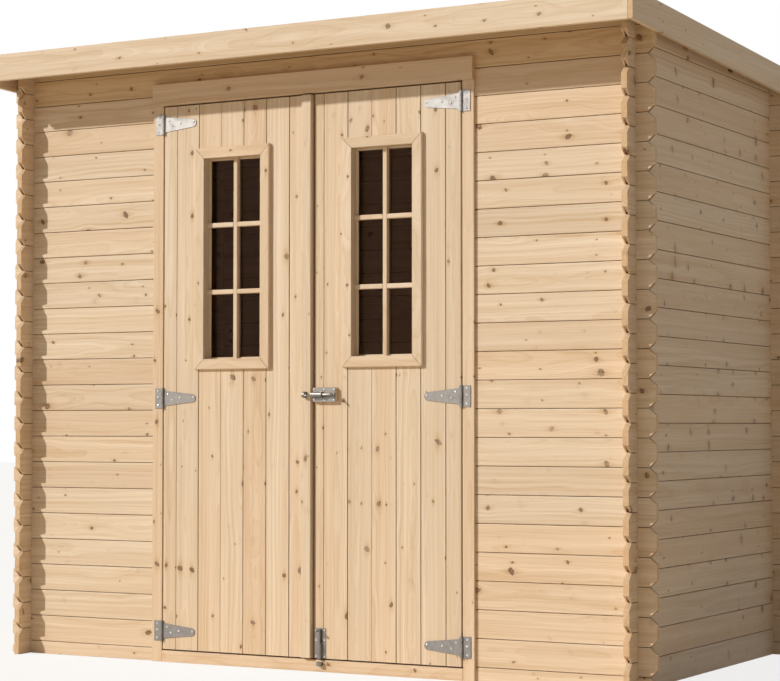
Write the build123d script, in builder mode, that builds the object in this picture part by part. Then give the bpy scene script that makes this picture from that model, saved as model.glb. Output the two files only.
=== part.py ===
"""Garden shed of interlocking horizontal boards, with a pent roof and a double door.

Lengths are in millimetres. The front faces -Y, +X is to the right of somebody who looks at
the doors, and the origin is on the ground under the middle of the roof's outline.
"""

import os

from build123d import *

# Walls: boards laid on edge, crossing at the corners
board_pitch = 88.0
wall_thickness = 19.0
shed_width = 2277.0
shed_depth = 1215.0
front_wall_height = 2020.0
front_board_reach = 60.0
side_board_reach = 66.0
board_end_chamfer = 22.0
board_groove_depth = 2.5
notch_clearance = 0.15

# Pent roof
roof_fall = 0.030
roof_board_thickness = 16.0
felt_thickness = 2.5
front_overhang = 200.0
rear_overhang = 90.0
side_overhang = 76.0
fascia_thickness = 16.0
fascia_cover = 67.0
fascia_lip = 4.5
purlin_count = 2
purlin_width = 44.0
purlin_height = 45.0

# Doorway
doorway_width = 1126.0
lintel_drop = 164.0
lintel_web = 12.0
lintel_cover = 37.0
lintel_proud = 20.0
casing_face = 40.0
casing_groove_depth = 20.0
casing_proud = 10.0
casing_back = 19.0
sill_height = 38.0

# Floor
floor_board_thickness = 18.0
bearer_width = 45.0
bearer_inset = 220.0
bearer_shares = (-1, -1 / 3, 1 / 3, 1)

# Door leaves
leaf_gap = 5.0
closing_gap = 6.0
closing_line = 26.5
leaf_thickness = 20.0
leaf_groove_depth = 2.0
left_edge_board = 90.0
right_edge_board = 35.0
ledge_height = 90.0
ledge_thickness = 20.0
ledge_inset = 28.0
ledge_end_gap = 26.0
bottom_ledge_rise = 52.0
middle_ledge_drop = 169.0
brace_width = 70.0
batten_width = 36.0
batten_proud = 15.0
batten_round = 3.0

# Windows, one in each leaf
window_offset = 282.0
window_bottom = 969.0
window_top_margin = 148.0
window_width = 290.0
moulding_width = 35.0
moulding_proud = 13.0
moulding_round = 4.0
liner_thickness = 10.0
inner_moulding_thickness = 16.0
glass_thickness = 4.0
glass_lip = 5.0
glass_groove_depth = 4.0

# T-hinges
bottom_hinge_rise = 60.0
middle_hinge_height = 875.0
top_hinge_drop = 59.0
hinge_sheet = 2.5
hinge_plate_width = 31.5
hinge_plate_height = 67.0
strap_length = 131.0
strap_root_height = 49.0
strap_tip_height = 27.0
strap_flare = 9.0
knuckle_radius = 4.5
pin_radius = 2.0
strap_knuckle_height = 33.0

# Barrel bolt across the closing edges
latch_height = 883.0
latch_plate_length = 84.0
latch_plate_height = 46.0
latch_sheet = 2.0
latch_packing_thickness = 13.0
latch_barrel_radius = 9.0
latch_barrel_length = 41.0
latch_bolt_radius = 5.0
latch_throw = 32.0
knob_radius = 4.0
knob_reach = 24.0
bolt_tail = 5.5
keeper_wall = 3.5
keeper_length = 10.0

# Foot bolt at the right leaf's closing edge
foot_bolt_offset = 24.0
foot_plate_width = 40.0
foot_plate_height = 96.0
foot_barrel_radius = 7.0
foot_barrel_height = 50.0
foot_bolt_radius = 4.5
foot_throw = 30.0
foot_keeper_bottom = 20.0
foot_keeper_height = 12.0

# Clearances
seat_gap = 0.2
bolt_gap = 0.4
keeper_gap = 1.5
knob_gap = 5.0

# Places worked out from the sizes above
half_width = shed_width / 2
outline_depth = front_overhang + shed_depth + rear_overhang
front_y = front_overhang - outline_depth / 2
rear_y = front_y + shed_depth
outline_half_width = half_width + side_overhang
half_doorway = doorway_width / 2
casing_outer = half_doorway + casing_face
front_wall_end = casing_outer - casing_groove_depth
door_face_y = front_y - casing_proud
door_back_y = door_face_y + leaf_thickness
casing_back_y = front_y + wall_thickness + casing_back
lintel_underside = front_wall_height - lintel_drop
lintel_course = board_pitch * (int((lintel_underside + lintel_web) / board_pitch + 0.5) + 0.5)
lintel_top = lintel_course + lintel_cover
floor_top = sill_height
leaf_bottom = sill_height + leaf_gap
leaf_top = lintel_underside - leaf_gap
leaf_height = leaf_top - leaf_bottom
leaf_edge = half_doorway - leaf_gap
left_closing_edge = closing_line - closing_gap / 2
right_closing_edge = closing_line + closing_gap / 2
hinge_axis_x = half_doorway - leaf_gap / 2
hinge_axis_y = door_face_y - knuckle_radius - bolt_gap
hinge_heights = (leaf_bottom + bottom_hinge_rise, middle_hinge_height, leaf_top - top_hinge_drop)
window_top = leaf_top - window_top_margin
window_height = window_top - window_bottom
window_middle = window_bottom + window_height / 2
opening_width = window_width - 2 * moulding_width
opening_height = window_height - 2 * moulding_width
latch_axis_y = door_face_y - latch_packing_thickness - latch_sheet - latch_barrel_radius
foot_axis_x = right_closing_edge + foot_bolt_offset
foot_axis_y = door_face_y - latch_sheet - foot_barrel_radius

os.makedirs("parts", exist_ok=True)


def roof_line(y):
    """Height of the underside of the roof boards at a place from front to back."""
    return front_wall_height - roof_fall * (y - front_y)


def facing(y):
    """Plane that looks to the front, for a profile whose front is at y."""
    return Plane.XZ.offset(-y)


roof_plane = Plane(origin=(0, front_y, front_wall_height), x_dir=(1, 0, 0), z_dir=(0, roof_fall, 1))
above_walls = front_wall_height + board_pitch
course_count = int(above_walls / board_pitch) + 1
front_joints = [board_pitch * (course + 0.5) for course in range(course_count)]
side_joints = [board_pitch * (course + 1.0) for course in range(course_count)]


def board_spans(joints, bottom, top):
    """Bottom and top of each board of a wall between two heights."""
    levels = [bottom] + [joint for joint in joints if bottom < joint < top] + [top]
    return list(zip(levels, levels[1:]))


def wall_profile(plane, joints, left, right, bottom, top, ends, crossings):
    """Outline of a wall: its panel, the board ends past each corner, and the corner notches.

    ends holds (inner, outer) for each row of projecting board ends, and crossings the middle
    of each crossing wall. A notch takes the middle half of a crossing board.
    """
    with BuildSketch(plane) as profile:
        with Locations(((left + right) / 2, (bottom + top) / 2)):
            Rectangle(right - left, top - bottom)
        for inner, outer in ends:
            side = 1 if outer > inner else -1
            for low, high in board_spans(joints, bottom, top):
                low_cut = 0.0 if low == 0.0 else board_end_chamfer
                high_cut = 0.0 if high == above_walls else board_end_chamfer
                Polygon(
                    (inner, low),
                    (outer - side * low_cut, low),
                    (outer, low + low_cut),
                    (outer, high - high_cut),
                    (outer - side * high_cut, high),
                    (inner, high),
                    align=None,
                )
        notch_heights = [joint for joint in joints if joint < above_walls]
        if joints is side_joints:
            notch_heights = [0.0] + notch_heights
        with Locations(*[(middle, height) for middle in crossings for height in notch_heights]):
            Rectangle(
                wall_thickness + 2 * notch_clearance,
                board_pitch / 2 + 2 * notch_clearance,
                mode=Mode.SUBTRACT,
            )
    return profile.sketch


def joint_grooves(plane, face, joints, below):
    """Diamonds that cut a V along each board joint on a wall's outer face."""
    with BuildSketch(plane) as grooves:
        with Locations(*[(face, joint) for joint in joints if joint < below]):
            Rectangle(board_groove_depth * 2**0.5, board_groove_depth * 2**0.5, rotation=45)
    return grooves.sketch


corner_x = half_width - wall_thickness / 2
front_corner_y = front_y + wall_thickness / 2
rear_corner_y = rear_y - wall_thickness / 2
board_end_x = half_width + front_board_reach

# Front wall: a panel each side of the doorway, and the full-length boards over it
with BuildPart() as front_wall_left:
    extrude(
        wall_profile(
            facing(front_y + wall_thickness), front_joints, -half_width, -front_wall_end, 0.0,
            lintel_course, [(-half_width, -board_end_x)], [-corner_x],
        ),
        amount=wall_thickness,
    )
    extrude(
        joint_grooves(Plane.YZ, front_y, front_joints, lintel_course),
        amount=-board_end_x, mode=Mode.SUBTRACT,
    )
front_wall_left.part.label = "front_wall_left"

with BuildPart() as front_wall_right:
    mirror(front_wall_left.part, about=Plane.YZ)
front_wall_right.part.label = "front_wall_right"

with BuildPart() as front_wall_top:
    extrude(
        wall_profile(
            facing(front_y + wall_thickness), front_joints, -half_width, half_width, lintel_course,
            above_walls, [(-half_width, -board_end_x), (half_width, board_end_x)],
            [-corner_x, corner_x],
        ),
        amount=wall_thickness,
    )
    extrude(
        joint_grooves(Plane.YZ, front_y, front_joints, front_wall_height),
        amount=board_end_x, both=True, mode=Mode.SUBTRACT,
    )
    split(bisect_by=roof_plane, keep=Keep.BOTTOM)
front_wall_top.part.label = "front_wall_top"

# Rear wall: one panel of full-length boards
with BuildPart() as rear_wall:
    extrude(
        wall_profile(
            facing(rear_y), front_joints, -half_width, half_width, 0.0, above_walls,
            [(-half_width, -board_end_x), (half_width, board_end_x)], [-corner_x, corner_x],
        ),
        amount=wall_thickness,
    )
    extrude(
        joint_grooves(Plane.YZ, rear_y, front_joints, front_wall_height),
        amount=board_end_x, both=True, mode=Mode.SUBTRACT,
    )
    split(bisect_by=roof_plane, keep=Keep.BOTTOM)
rear_wall.part.label = "rear_wall"

# Side walls, half a board out of step with the front, with pockets for the purlins
purlin_spacing = shed_depth / (purlin_count + 1)
purlin_places = [front_y + purlin_spacing * (row + 1) for row in range(purlin_count)]


def purlin_profile(clearance):
    """Slanted section of each purlin, drawn from the side, grown by a clearance."""
    half = purlin_width / 2 + clearance
    with BuildSketch(Plane.YZ) as section:
        for middle in purlin_places:
            Polygon(
                (middle - half, roof_line(middle - half) - purlin_height - clearance),
                (middle + half, roof_line(middle + half) - purlin_height - clearance),
                (middle + half, roof_line(middle + half) + clearance),
                (middle - half, roof_line(middle - half) + clearance),
                align=None,
            )
    return section.sketch


with BuildPart() as right_wall:
    extrude(
        wall_profile(
            Plane.YZ.offset(half_width - wall_thickness), side_joints, front_y, rear_y, 0.0,
            above_walls,
            [(front_y, front_y - side_board_reach), (rear_y, rear_y + side_board_reach)],
            [front_corner_y, rear_corner_y],
        ),
        amount=wall_thickness,
    )
    extrude(
        joint_grooves(Plane.XZ, half_width, side_joints, front_wall_height),
        amount=outline_depth / 2, both=True, mode=Mode.SUBTRACT,
    )
    extrude(purlin_profile(notch_clearance), amount=half_width, mode=Mode.SUBTRACT)
    split(bisect_by=roof_plane, keep=Keep.BOTTOM)
right_wall.part.label = "right_wall"

with BuildPart() as left_wall:
    mirror(right_wall.part, about=Plane.YZ)
left_wall.part.label = "left_wall"

# Casings: grooved posts that hold the cut ends of the front boards
with BuildPart() as door_casing_right:
    with BuildSketch(Plane.XY):
        with Locations((half_doorway, door_face_y)):
            Rectangle(casing_face, casing_back_y - door_face_y, align=(Align.MIN, Align.MIN))
        with Locations((front_wall_end - seat_gap, front_y + wall_thickness / 2)):
            Rectangle(
                casing_face, wall_thickness + 2 * seat_gap, align=(Align.MIN, Align.CENTER),
                mode=Mode.SUBTRACT,
            )
    extrude(amount=lintel_underside)
door_casing_right.part.label = "door_casing_right"

with BuildPart() as door_casing_left:
    mirror(door_casing_right.part, about=Plane.YZ)
door_casing_left.part.label = "door_casing_left"

# Lintel: sits on both casings, with a groove on top for the boards above the doorway
with BuildPart() as door_lintel:
    with BuildSketch(Plane.YZ):
        with Locations((front_y - lintel_proud, lintel_underside)):
            Rectangle(
                casing_back_y - front_y + lintel_proud, lintel_top - lintel_underside,
                align=(Align.MIN, Align.MIN),
            )
        with Locations((front_y + wall_thickness / 2, lintel_course - seat_gap)):
            Rectangle(
                wall_thickness + 2 * seat_gap, board_pitch, align=(Align.CENTER, Align.MIN),
                mode=Mode.SUBTRACT,
            )
    extrude(amount=casing_outer, both=True)
    with BuildSketch(Plane.XY.offset(lintel_underside)):
        for side in (-1, 1):
            with Locations((side * (front_wall_end - seat_gap + board_pitch / 2), front_corner_y)):
                Rectangle(board_pitch, wall_thickness + 2 * seat_gap)
    extrude(amount=board_pitch, mode=Mode.SUBTRACT)
door_lintel.part.label = "door_lintel"

# Sill between the casings
with BuildPart() as door_sill:
    with BuildSketch(Plane.XY):
        with Locations((0, door_face_y)):
            Rectangle(
                doorway_width - 2 * seat_gap, casing_back_y - door_face_y,
                align=(Align.CENTER, Align.MIN),
            )
    extrude(amount=sill_height)
door_sill.part.label = "door_sill"

# Floor: boards on bearers, cut round the casings and the sill
floor_half_width = half_width - wall_thickness - seat_gap
floor_front = front_y + wall_thickness + seat_gap
floor_rear = rear_y - wall_thickness - seat_gap
doorway_cut_y = casing_back_y + seat_gap
bearer_reach = floor_half_width - bearer_inset
with BuildPart() as floor_boards:
    with BuildSketch(Plane.XY.offset(floor_top - floor_board_thickness)):
        with Locations((0, floor_front)):
            Rectangle(
                2 * floor_half_width, floor_rear - floor_front, align=(Align.CENTER, Align.MIN)
            )
        with Locations((0, doorway_cut_y)):
            Rectangle(
                2 * (casing_outer + seat_gap), casing_back_y - door_face_y,
                align=(Align.CENTER, Align.MAX), mode=Mode.SUBTRACT,
            )
    extrude(amount=floor_board_thickness)
floor_boards.part.label = "floor_boards"

with BuildPart() as floor_bearers:
    with BuildSketch(Plane.XY):
        with Locations(*[(bearer_reach * share, doorway_cut_y) for share in bearer_shares]):
            Rectangle(bearer_width, floor_rear - doorway_cut_y, align=(Align.CENTER, Align.MIN))
    extrude(amount=floor_top - floor_board_thickness)
floor_bearers.part.label = "floor_bearers"

# Roof: purlins, boards, felt, and a fascia on each side
with BuildPart() as roof_purlins:
    extrude(purlin_profile(0.0), amount=half_width, both=True)
roof_purlins.part.label = "roof_purlins"

roof_front_y = front_y - front_overhang + fascia_thickness + seat_gap
roof_rear_y = rear_y + rear_overhang - fascia_thickness - seat_gap
roof_half_width = outline_half_width - fascia_thickness - seat_gap


def sloping_layer(plane, lift, thickness, start, end):
    """Side view of a layer that follows the roof, at a height above its underside."""
    with BuildSketch(plane) as layer:
        Polygon(
            (start, roof_line(start) + lift),
            (end, roof_line(end) + lift),
            (end, roof_line(end) + lift + thickness),
            (start, roof_line(start) + lift + thickness),
            align=None,
        )
    return layer.sketch


with BuildPart() as roof_boards:
    extrude(
        sloping_layer(Plane.YZ, 0.0, roof_board_thickness, roof_front_y, roof_rear_y),
        amount=roof_half_width, both=True,
    )
roof_boards.part.label = "roof_boards"

with BuildPart() as roof_felt:
    extrude(
        sloping_layer(Plane.YZ, roof_board_thickness, felt_thickness, roof_front_y, roof_rear_y),
        amount=roof_half_width, both=True,
    )
roof_felt.part.label = "roof_felt"

fascia_height = fascia_cover + roof_board_thickness + felt_thickness + fascia_lip
fascia_front_y = front_y - front_overhang
fascia_rear_y = rear_y + rear_overhang
with BuildPart() as fascia_right:
    extrude(
        sloping_layer(
            Plane.YZ.offset(outline_half_width - fascia_thickness), -fascia_cover, fascia_height,
            fascia_front_y, fascia_rear_y,
        ),
        amount=fascia_thickness,
    )
fascia_right.part.label = "fascia_right"

with BuildPart() as fascia_left:
    mirror(fascia_right.part, about=Plane.YZ)
fascia_left.part.label = "fascia_left"

with BuildPart() as fascia_front:
    extrude(
        sloping_layer(
            Plane.YZ, -fascia_cover, fascia_height, fascia_front_y, fascia_front_y + fascia_thickness
        ),
        amount=roof_half_width, both=True,
    )
fascia_front.part.label = "fascia_front"

with BuildPart() as fascia_rear:
    extrude(
        sloping_layer(
            Plane.YZ, -fascia_cover, fascia_height, fascia_rear_y - fascia_thickness, fascia_rear_y
        ),
        amount=roof_half_width, both=True,
    )
fascia_rear.part.label = "fascia_rear"


def leaf_boards(hinge_edge, closing_edge, window_x, edge_board):
    """Solid of one leaf: upright boards, grooved at their joints, with the window cut through."""
    left = min(hinge_edge, closing_edge)
    right = max(hinge_edge, closing_edge)
    side = 1 if hinge_edge > closing_edge else -1
    joint_count = int((right - left - edge_board) / board_pitch) + 1
    joints = [closing_edge + side * (edge_board + board_pitch * n) for n in range(joint_count)]
    with BuildPart() as leaf:
        with BuildSketch(facing(door_back_y)):
            with Locations((left, leaf_bottom)):
                Rectangle(right - left, leaf_height, align=(Align.MIN, Align.MIN))
            with Locations((window_x, window_middle)):
                Rectangle(
                    opening_width + 2 * (liner_thickness + seat_gap),
                    opening_height + 2 * (liner_thickness + seat_gap),
                    mode=Mode.SUBTRACT,
                )
        extrude(amount=leaf_thickness)
        with BuildSketch(Plane.XY.offset(leaf_bottom)):
            with Locations(*[(joint, door_face_y) for joint in joints]):
                Rectangle(leaf_groove_depth * 2**0.5, leaf_groove_depth * 2**0.5, rotation=45)
        extrude(amount=leaf_height, mode=Mode.SUBTRACT)
    return leaf.part


def leaf_ledges(hinge_edge, closing_edge):
    """Ledges across the back of a leaf, with a brace that rises from the hinge side."""
    side = 1 if hinge_edge > closing_edge else -1
    hinge_end = hinge_edge - side * ledge_inset
    closing_end = closing_edge + side * ledge_inset
    low_bottom = leaf_bottom + bottom_ledge_rise
    middle_bottom = window_bottom - middle_ledge_drop
    high_bottom = leaf_top - ledge_end_gap - ledge_height
    brace_foot = low_bottom + ledge_height / 2
    brace_head = middle_bottom + ledge_height / 2
    with BuildPart() as ledges:
        with BuildSketch(facing(door_back_y + ledge_thickness)):
            for bottom in (low_bottom, middle_bottom, high_bottom):
                with Locations(((hinge_end + closing_end) / 2, bottom)):
                    Rectangle(
                        abs(hinge_end - closing_end), ledge_height,
                        align=(Align.CENTER, Align.MIN),
                    )
            Polygon(
                (hinge_end, brace_foot),
                (hinge_end - side * brace_width, brace_foot),
                (closing_end, brace_head - brace_width),
                (closing_end, brace_head),
                (closing_end + side * brace_width, brace_head),
                (hinge_end, brace_foot + brace_width),
                align=None,
            )
        extrude(amount=ledge_thickness)
    return ledges.part


def ring_sketch(y, window_x, margin_out, margin_in):
    """Rectangular ring about a window, its edges measured outwards from the opening."""
    with BuildSketch(facing(y)) as ring:
        with Locations((window_x, window_middle)):
            Rectangle(opening_width + 2 * margin_out, opening_height + 2 * margin_out)
            Rectangle(
                opening_width + 2 * margin_in, opening_height + 2 * margin_in, mode=Mode.SUBTRACT
            )
    return ring.sketch


frame_back_y = door_back_y + inner_moulding_thickness
glass_y = frame_back_y - glass_lip - glass_thickness


def window_frame(window_x):
    """Frame of one window: outer moulding, liner through the leaf, and inner moulding.

    A groove round the inside of the liner holds the glass.
    """
    with BuildPart() as frame:
        extrude(ring_sketch(door_face_y, window_x, moulding_width, 0.0), amount=moulding_proud)
        outer_edges = frame.faces().sort_by(Axis.Y)[0].outer_wire().edges()
        fillet(outer_edges, radius=moulding_round)
        extrude(
            ring_sketch(frame_back_y, window_x, liner_thickness, 0.0),
            amount=frame_back_y - door_face_y,
        )
        extrude(
            ring_sketch(frame_back_y, window_x, moulding_width, 0.0),
            amount=inner_moulding_thickness - seat_gap,
        )
        extrude(
            ring_sketch(glass_y + glass_thickness + seat_gap, window_x, glass_groove_depth, -1.0),
            amount=glass_thickness + 2 * seat_gap, mode=Mode.SUBTRACT,
        )
    return frame.part


def window_glass(window_x):
    """Pane that sits in the frame's groove."""
    with BuildPart() as glass:
        with BuildSketch(facing(glass_y + glass_thickness)):
            with Locations((window_x, window_middle)):
                Rectangle(
                    opening_width + 2 * (glass_groove_depth - seat_gap),
                    opening_height + 2 * (glass_groove_depth - seat_gap),
                )
        extrude(amount=glass_thickness)
    return glass.part


def hinge_plates(side):
    """Fixed halves of the T-hinges on one casing, each with two knuckles and the pin."""
    axis_x = side * hinge_axis_x
    with BuildPart() as plates:
        for middle in hinge_heights:
            with BuildSketch(facing(door_face_y)):
                with Locations((axis_x + side * (knuckle_radius + bolt_gap), middle)):
                    Rectangle(
                        hinge_plate_width - knuckle_radius - bolt_gap, hinge_plate_height,
                        align=(Align.MIN if side > 0 else Align.MAX, Align.CENTER),
                    )
            extrude(amount=hinge_sheet)
            knuckle_height = (hinge_plate_height - strap_knuckle_height) / 2 - bolt_gap
            for bottom in (
                middle - hinge_plate_height / 2,
                middle + hinge_plate_height / 2 - knuckle_height,
            ):
                with BuildSketch(Plane.XY.offset(bottom)):
                    with Locations((axis_x, hinge_axis_y)):
                        Circle(knuckle_radius)
                    with Locations((axis_x, door_face_y)):
                        Rectangle(
                            hinge_plate_width / 2, hinge_sheet,
                            align=(Align.MIN if side > 0 else Align.MAX, Align.MAX),
                        )
                extrude(amount=knuckle_height)
            with BuildSketch(Plane.XY.offset(middle - hinge_plate_height / 2)):
                with Locations((axis_x, hinge_axis_y)):
                    Circle(pin_radius)
            extrude(amount=hinge_plate_height)
    return plates.part


def hinge_straps(side):
    """Moving halves of the T-hinges on one leaf: tapered straps that end in a knuckle."""
    axis_x = side * hinge_axis_x
    root_x = axis_x - side * (knuckle_radius + bolt_gap)
    tip_centre_x = axis_x - side * (strap_length - strap_tip_height / 2)
    with BuildPart() as straps:
        for middle in hinge_heights:
            with BuildSketch(facing(door_face_y)):
                Polygon(
                    (root_x, middle - hinge_plate_height / 2),
                    (root_x, middle + hinge_plate_height / 2),
                    (root_x - side * strap_flare, middle + strap_root_height / 2),
                    (tip_centre_x, middle + strap_tip_height / 2),
                    (tip_centre_x, middle - strap_tip_height / 2),
                    (root_x - side * strap_flare, middle - strap_root_height / 2),
                    align=None,
                )
                with Locations((tip_centre_x, middle)):
                    Circle(strap_tip_height / 2)
            extrude(amount=hinge_sheet)
            with BuildSketch(Plane.XY.offset(middle - strap_knuckle_height / 2)):
                with Locations((axis_x, hinge_axis_y)):
                    Circle(knuckle_radius)
                with Locations((axis_x, door_face_y)):
                    Rectangle(
                        2 * knuckle_radius, hinge_sheet,
                        align=(Align.MAX if side > 0 else Align.MIN, Align.MAX),
                    )
                with Locations((axis_x, hinge_axis_y)):
                    Circle(pin_radius + bolt_gap, mode=Mode.SUBTRACT)
            extrude(amount=strap_knuckle_height)
    return straps.part


# Left leaf, with the batten that covers the closing edge
with BuildPart() as left_door_boards:
    add(leaf_boards(-leaf_edge, left_closing_edge, -window_offset, left_edge_board))
left_door_boards.part.label = "left_door_boards"

with BuildPart() as left_door_ledges:
    add(leaf_ledges(-leaf_edge, left_closing_edge))
left_door_ledges.part.label = "left_door_ledges"

with BuildPart() as left_door_batten:
    with BuildSketch(Plane.XY.offset(leaf_bottom)):
        with Locations((left_closing_edge, door_face_y)):
            Rectangle(batten_width, batten_proud, align=(Align.MAX, Align.MAX))
    extrude(amount=leaf_height)
    fillet(
        left_door_batten.edges().filter_by(Axis.Z).group_by(Axis.Y)[0], radius=batten_round
    )
left_door_batten.part.label = "left_door_batten"

with BuildPart() as left_window_frame:
    add(window_frame(-window_offset))
left_window_frame.part.label = "left_window_frame"

with BuildPart() as left_window_glass:
    add(window_glass(-window_offset))
left_window_glass.part.label = "left_window_glass"

with BuildPart() as left_hinge_plates:
    add(hinge_plates(-1))
left_hinge_plates.part.label = "left_hinge_plates"

with BuildPart() as left_hinge_straps:
    add(hinge_straps(-1))
left_hinge_straps.part.label = "left_hinge_straps"

# Right leaf
with BuildPart() as right_door_boards:
    add(leaf_boards(leaf_edge, right_closing_edge, window_offset, right_edge_board))
right_door_boards.part.label = "right_door_boards"

with BuildPart() as right_door_ledges:
    add(leaf_ledges(leaf_edge, right_closing_edge))
right_door_ledges.part.label = "right_door_ledges"

with BuildPart() as right_window_frame:
    add(window_frame(window_offset))
right_window_frame.part.label = "right_window_frame"

with BuildPart() as right_window_glass:
    add(window_glass(window_offset))
right_window_glass.part.label = "right_window_glass"

with BuildPart() as right_hinge_plates:
    add(hinge_plates(1))
right_hinge_plates.part.label = "right_hinge_plates"

with BuildPart() as right_hinge_straps:
    add(hinge_straps(1))
right_hinge_straps.part.label = "right_hinge_straps"

# Barrel bolt: a packed-out plate on the right leaf, so that the bolt clears the batten
latch_left_x = right_closing_edge + leaf_gap / 2
packing_face_y = door_face_y - latch_packing_thickness
with BuildPart() as latch_packing:
    with BuildSketch(facing(door_face_y)):
        with Locations((latch_left_x, latch_height)):
            Rectangle(latch_plate_length, latch_plate_height, align=(Align.MIN, Align.CENTER))
    extrude(amount=latch_packing_thickness)
latch_packing.part.label = "latch_packing"

with BuildPart() as latch_plate:
    with BuildSketch(facing(packing_face_y)):
        with Locations((latch_left_x, latch_height)):
            Rectangle(latch_plate_length, latch_plate_height, align=(Align.MIN, Align.CENTER))
    extrude(amount=latch_sheet)
    with BuildSketch(Plane.YZ.offset(latch_left_x)):
        with Locations((latch_axis_y, latch_height)):
            Circle(latch_barrel_radius)
        with Locations((packing_face_y, latch_height)):
            Rectangle(
                latch_barrel_radius + latch_sheet, 2 * latch_barrel_radius,
                align=(Align.MAX, Align.CENTER),
            )
    extrude(amount=latch_barrel_length)
    with BuildSketch(Plane.YZ.offset(latch_left_x)):
        with Locations((latch_axis_y, latch_height)):
            Circle(latch_bolt_radius + bolt_gap)
    extrude(amount=latch_barrel_length, mode=Mode.SUBTRACT)
latch_plate.part.label = "latch_plate"

latch_knob_x = latch_left_x + latch_barrel_length + latch_throw + knob_gap + knob_radius
with BuildPart() as latch_bolt:
    with BuildSketch(Plane.YZ.offset(latch_left_x)):
        with Locations((latch_axis_y, latch_height)):
            Circle(latch_bolt_radius)
    extrude(amount=latch_knob_x + bolt_tail - latch_left_x)
    with BuildSketch(facing(latch_axis_y)):
        with Locations((latch_knob_x, latch_height)):
            Circle(knob_radius)
    extrude(amount=knob_reach)
latch_bolt.part.label = "latch_bolt"

batten_face_y = door_face_y - batten_proud
keeper_left_x = latch_left_x - latch_throw
keeper_half_height = latch_bolt_radius + keeper_gap + keeper_wall
with BuildPart() as latch_keeper:
    with BuildSketch(Plane.YZ.offset(keeper_left_x)):
        with Locations((batten_face_y, latch_height)):
            Rectangle(
                batten_face_y - latch_axis_y, 2 * keeper_half_height,
                align=(Align.MAX, Align.CENTER),
            )
        with Locations((latch_axis_y, latch_height)):
            Circle(keeper_half_height)
        with Locations((batten_face_y, latch_height)):
            Rectangle(
                latch_barrel_radius * 4, 4 * keeper_half_height, align=(Align.MIN, Align.CENTER),
                mode=Mode.SUBTRACT,
            )
        with Locations((latch_axis_y, latch_height)):
            Circle(latch_bolt_radius + keeper_gap, mode=Mode.SUBTRACT)
    extrude(amount=keeper_length)
latch_keeper.part.label = "latch_keeper"

# Foot bolt: a barrel on the right leaf over a keeper on the sill's face
with BuildPart() as foot_bolt_plate:
    with BuildSketch(facing(door_face_y)):
        with Locations((foot_axis_x, leaf_bottom)):
            Rectangle(foot_plate_width, foot_plate_height, align=(Align.CENTER, Align.MIN))
    extrude(amount=latch_sheet)
    with BuildSketch(Plane.XY.offset(leaf_bottom)):
        with Locations((foot_axis_x, foot_axis_y)):
            Circle(foot_barrel_radius)
        with Locations((foot_axis_x, door_face_y)):
            Rectangle(
                2 * foot_barrel_radius, foot_barrel_radius + latch_sheet,
                align=(Align.CENTER, Align.MAX),
            )
    extrude(amount=foot_barrel_height)
    with BuildSketch(Plane.XY.offset(leaf_bottom)):
        with Locations((foot_axis_x, foot_axis_y)):
            Circle(foot_bolt_radius + bolt_gap)
    extrude(amount=foot_barrel_height, mode=Mode.SUBTRACT)
foot_bolt_plate.part.label = "foot_bolt_plate"

foot_bolt_bottom = leaf_bottom + leaf_gap / 2
foot_knob_z = leaf_bottom + foot_barrel_height + foot_throw + knob_gap + knob_radius
with BuildPart() as foot_bolt:
    with BuildSketch(Plane.XY.offset(foot_bolt_bottom)):
        with Locations((foot_axis_x, foot_axis_y)):
            Circle(foot_bolt_radius)
    extrude(amount=foot_knob_z + bolt_tail - foot_bolt_bottom)
    with BuildSketch(facing(foot_axis_y)):
        with Locations((foot_axis_x, foot_knob_z)):
            Circle(knob_radius)
    extrude(amount=knob_reach)
foot_bolt.part.label = "foot_bolt"

foot_keeper_radius = foot_bolt_radius + keeper_gap + keeper_wall
with BuildPart() as foot_bolt_keeper:
    with BuildSketch(Plane.XY.offset(foot_keeper_bottom)):
        with Locations((foot_axis_x, door_face_y)):
            Rectangle(
                2 * foot_keeper_radius, door_face_y - foot_axis_y, align=(Align.CENTER, Align.MAX)
            )
        with Locations((foot_axis_x, foot_axis_y)):
            Circle(foot_keeper_radius)
        with Locations((foot_axis_x, door_face_y)):
            Rectangle(
                4 * foot_keeper_radius, foot_keeper_radius, align=(Align.CENTER, Align.MIN),
                mode=Mode.SUBTRACT,
            )
        with Locations((foot_axis_x, foot_axis_y)):
            Circle(foot_bolt_radius + keeper_gap, mode=Mode.SUBTRACT)
    extrude(amount=foot_keeper_height)
foot_bolt_keeper.part.label = "foot_bolt_keeper"

pieces = (
    front_wall_left, front_wall_right, front_wall_top, rear_wall, left_wall, right_wall,
    door_casing_left, door_casing_right, door_lintel, door_sill, floor_boards, floor_bearers,
    roof_purlins, roof_boards, roof_felt, fascia_front, fascia_rear, fascia_left, fascia_right,
    left_hinge_plates, right_hinge_plates, foot_bolt_keeper,
    left_door_boards, left_door_ledges, left_door_batten, left_window_frame, left_window_glass,
    left_hinge_straps, latch_keeper,
    right_door_boards, right_door_ledges, right_window_frame, right_window_glass,
    right_hinge_straps, latch_packing, latch_plate, foot_bolt_plate,
    latch_bolt, foot_bolt,
)
for piece in pieces:
    export_step(piece.part, f"parts/{piece.part.label}.step")
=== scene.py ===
"""Looks of a small timber garden shed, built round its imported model.

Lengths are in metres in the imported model's frame: the front faces -Y, +X is to the right of
somebody who looks at the doors, and the origin is on the ground under the roof's middle.
"""

import itertools
import logging
import math
import random
from dataclasses import dataclass
from enum import Enum
from typing import Callable, Optional, Sequence, Union

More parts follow.
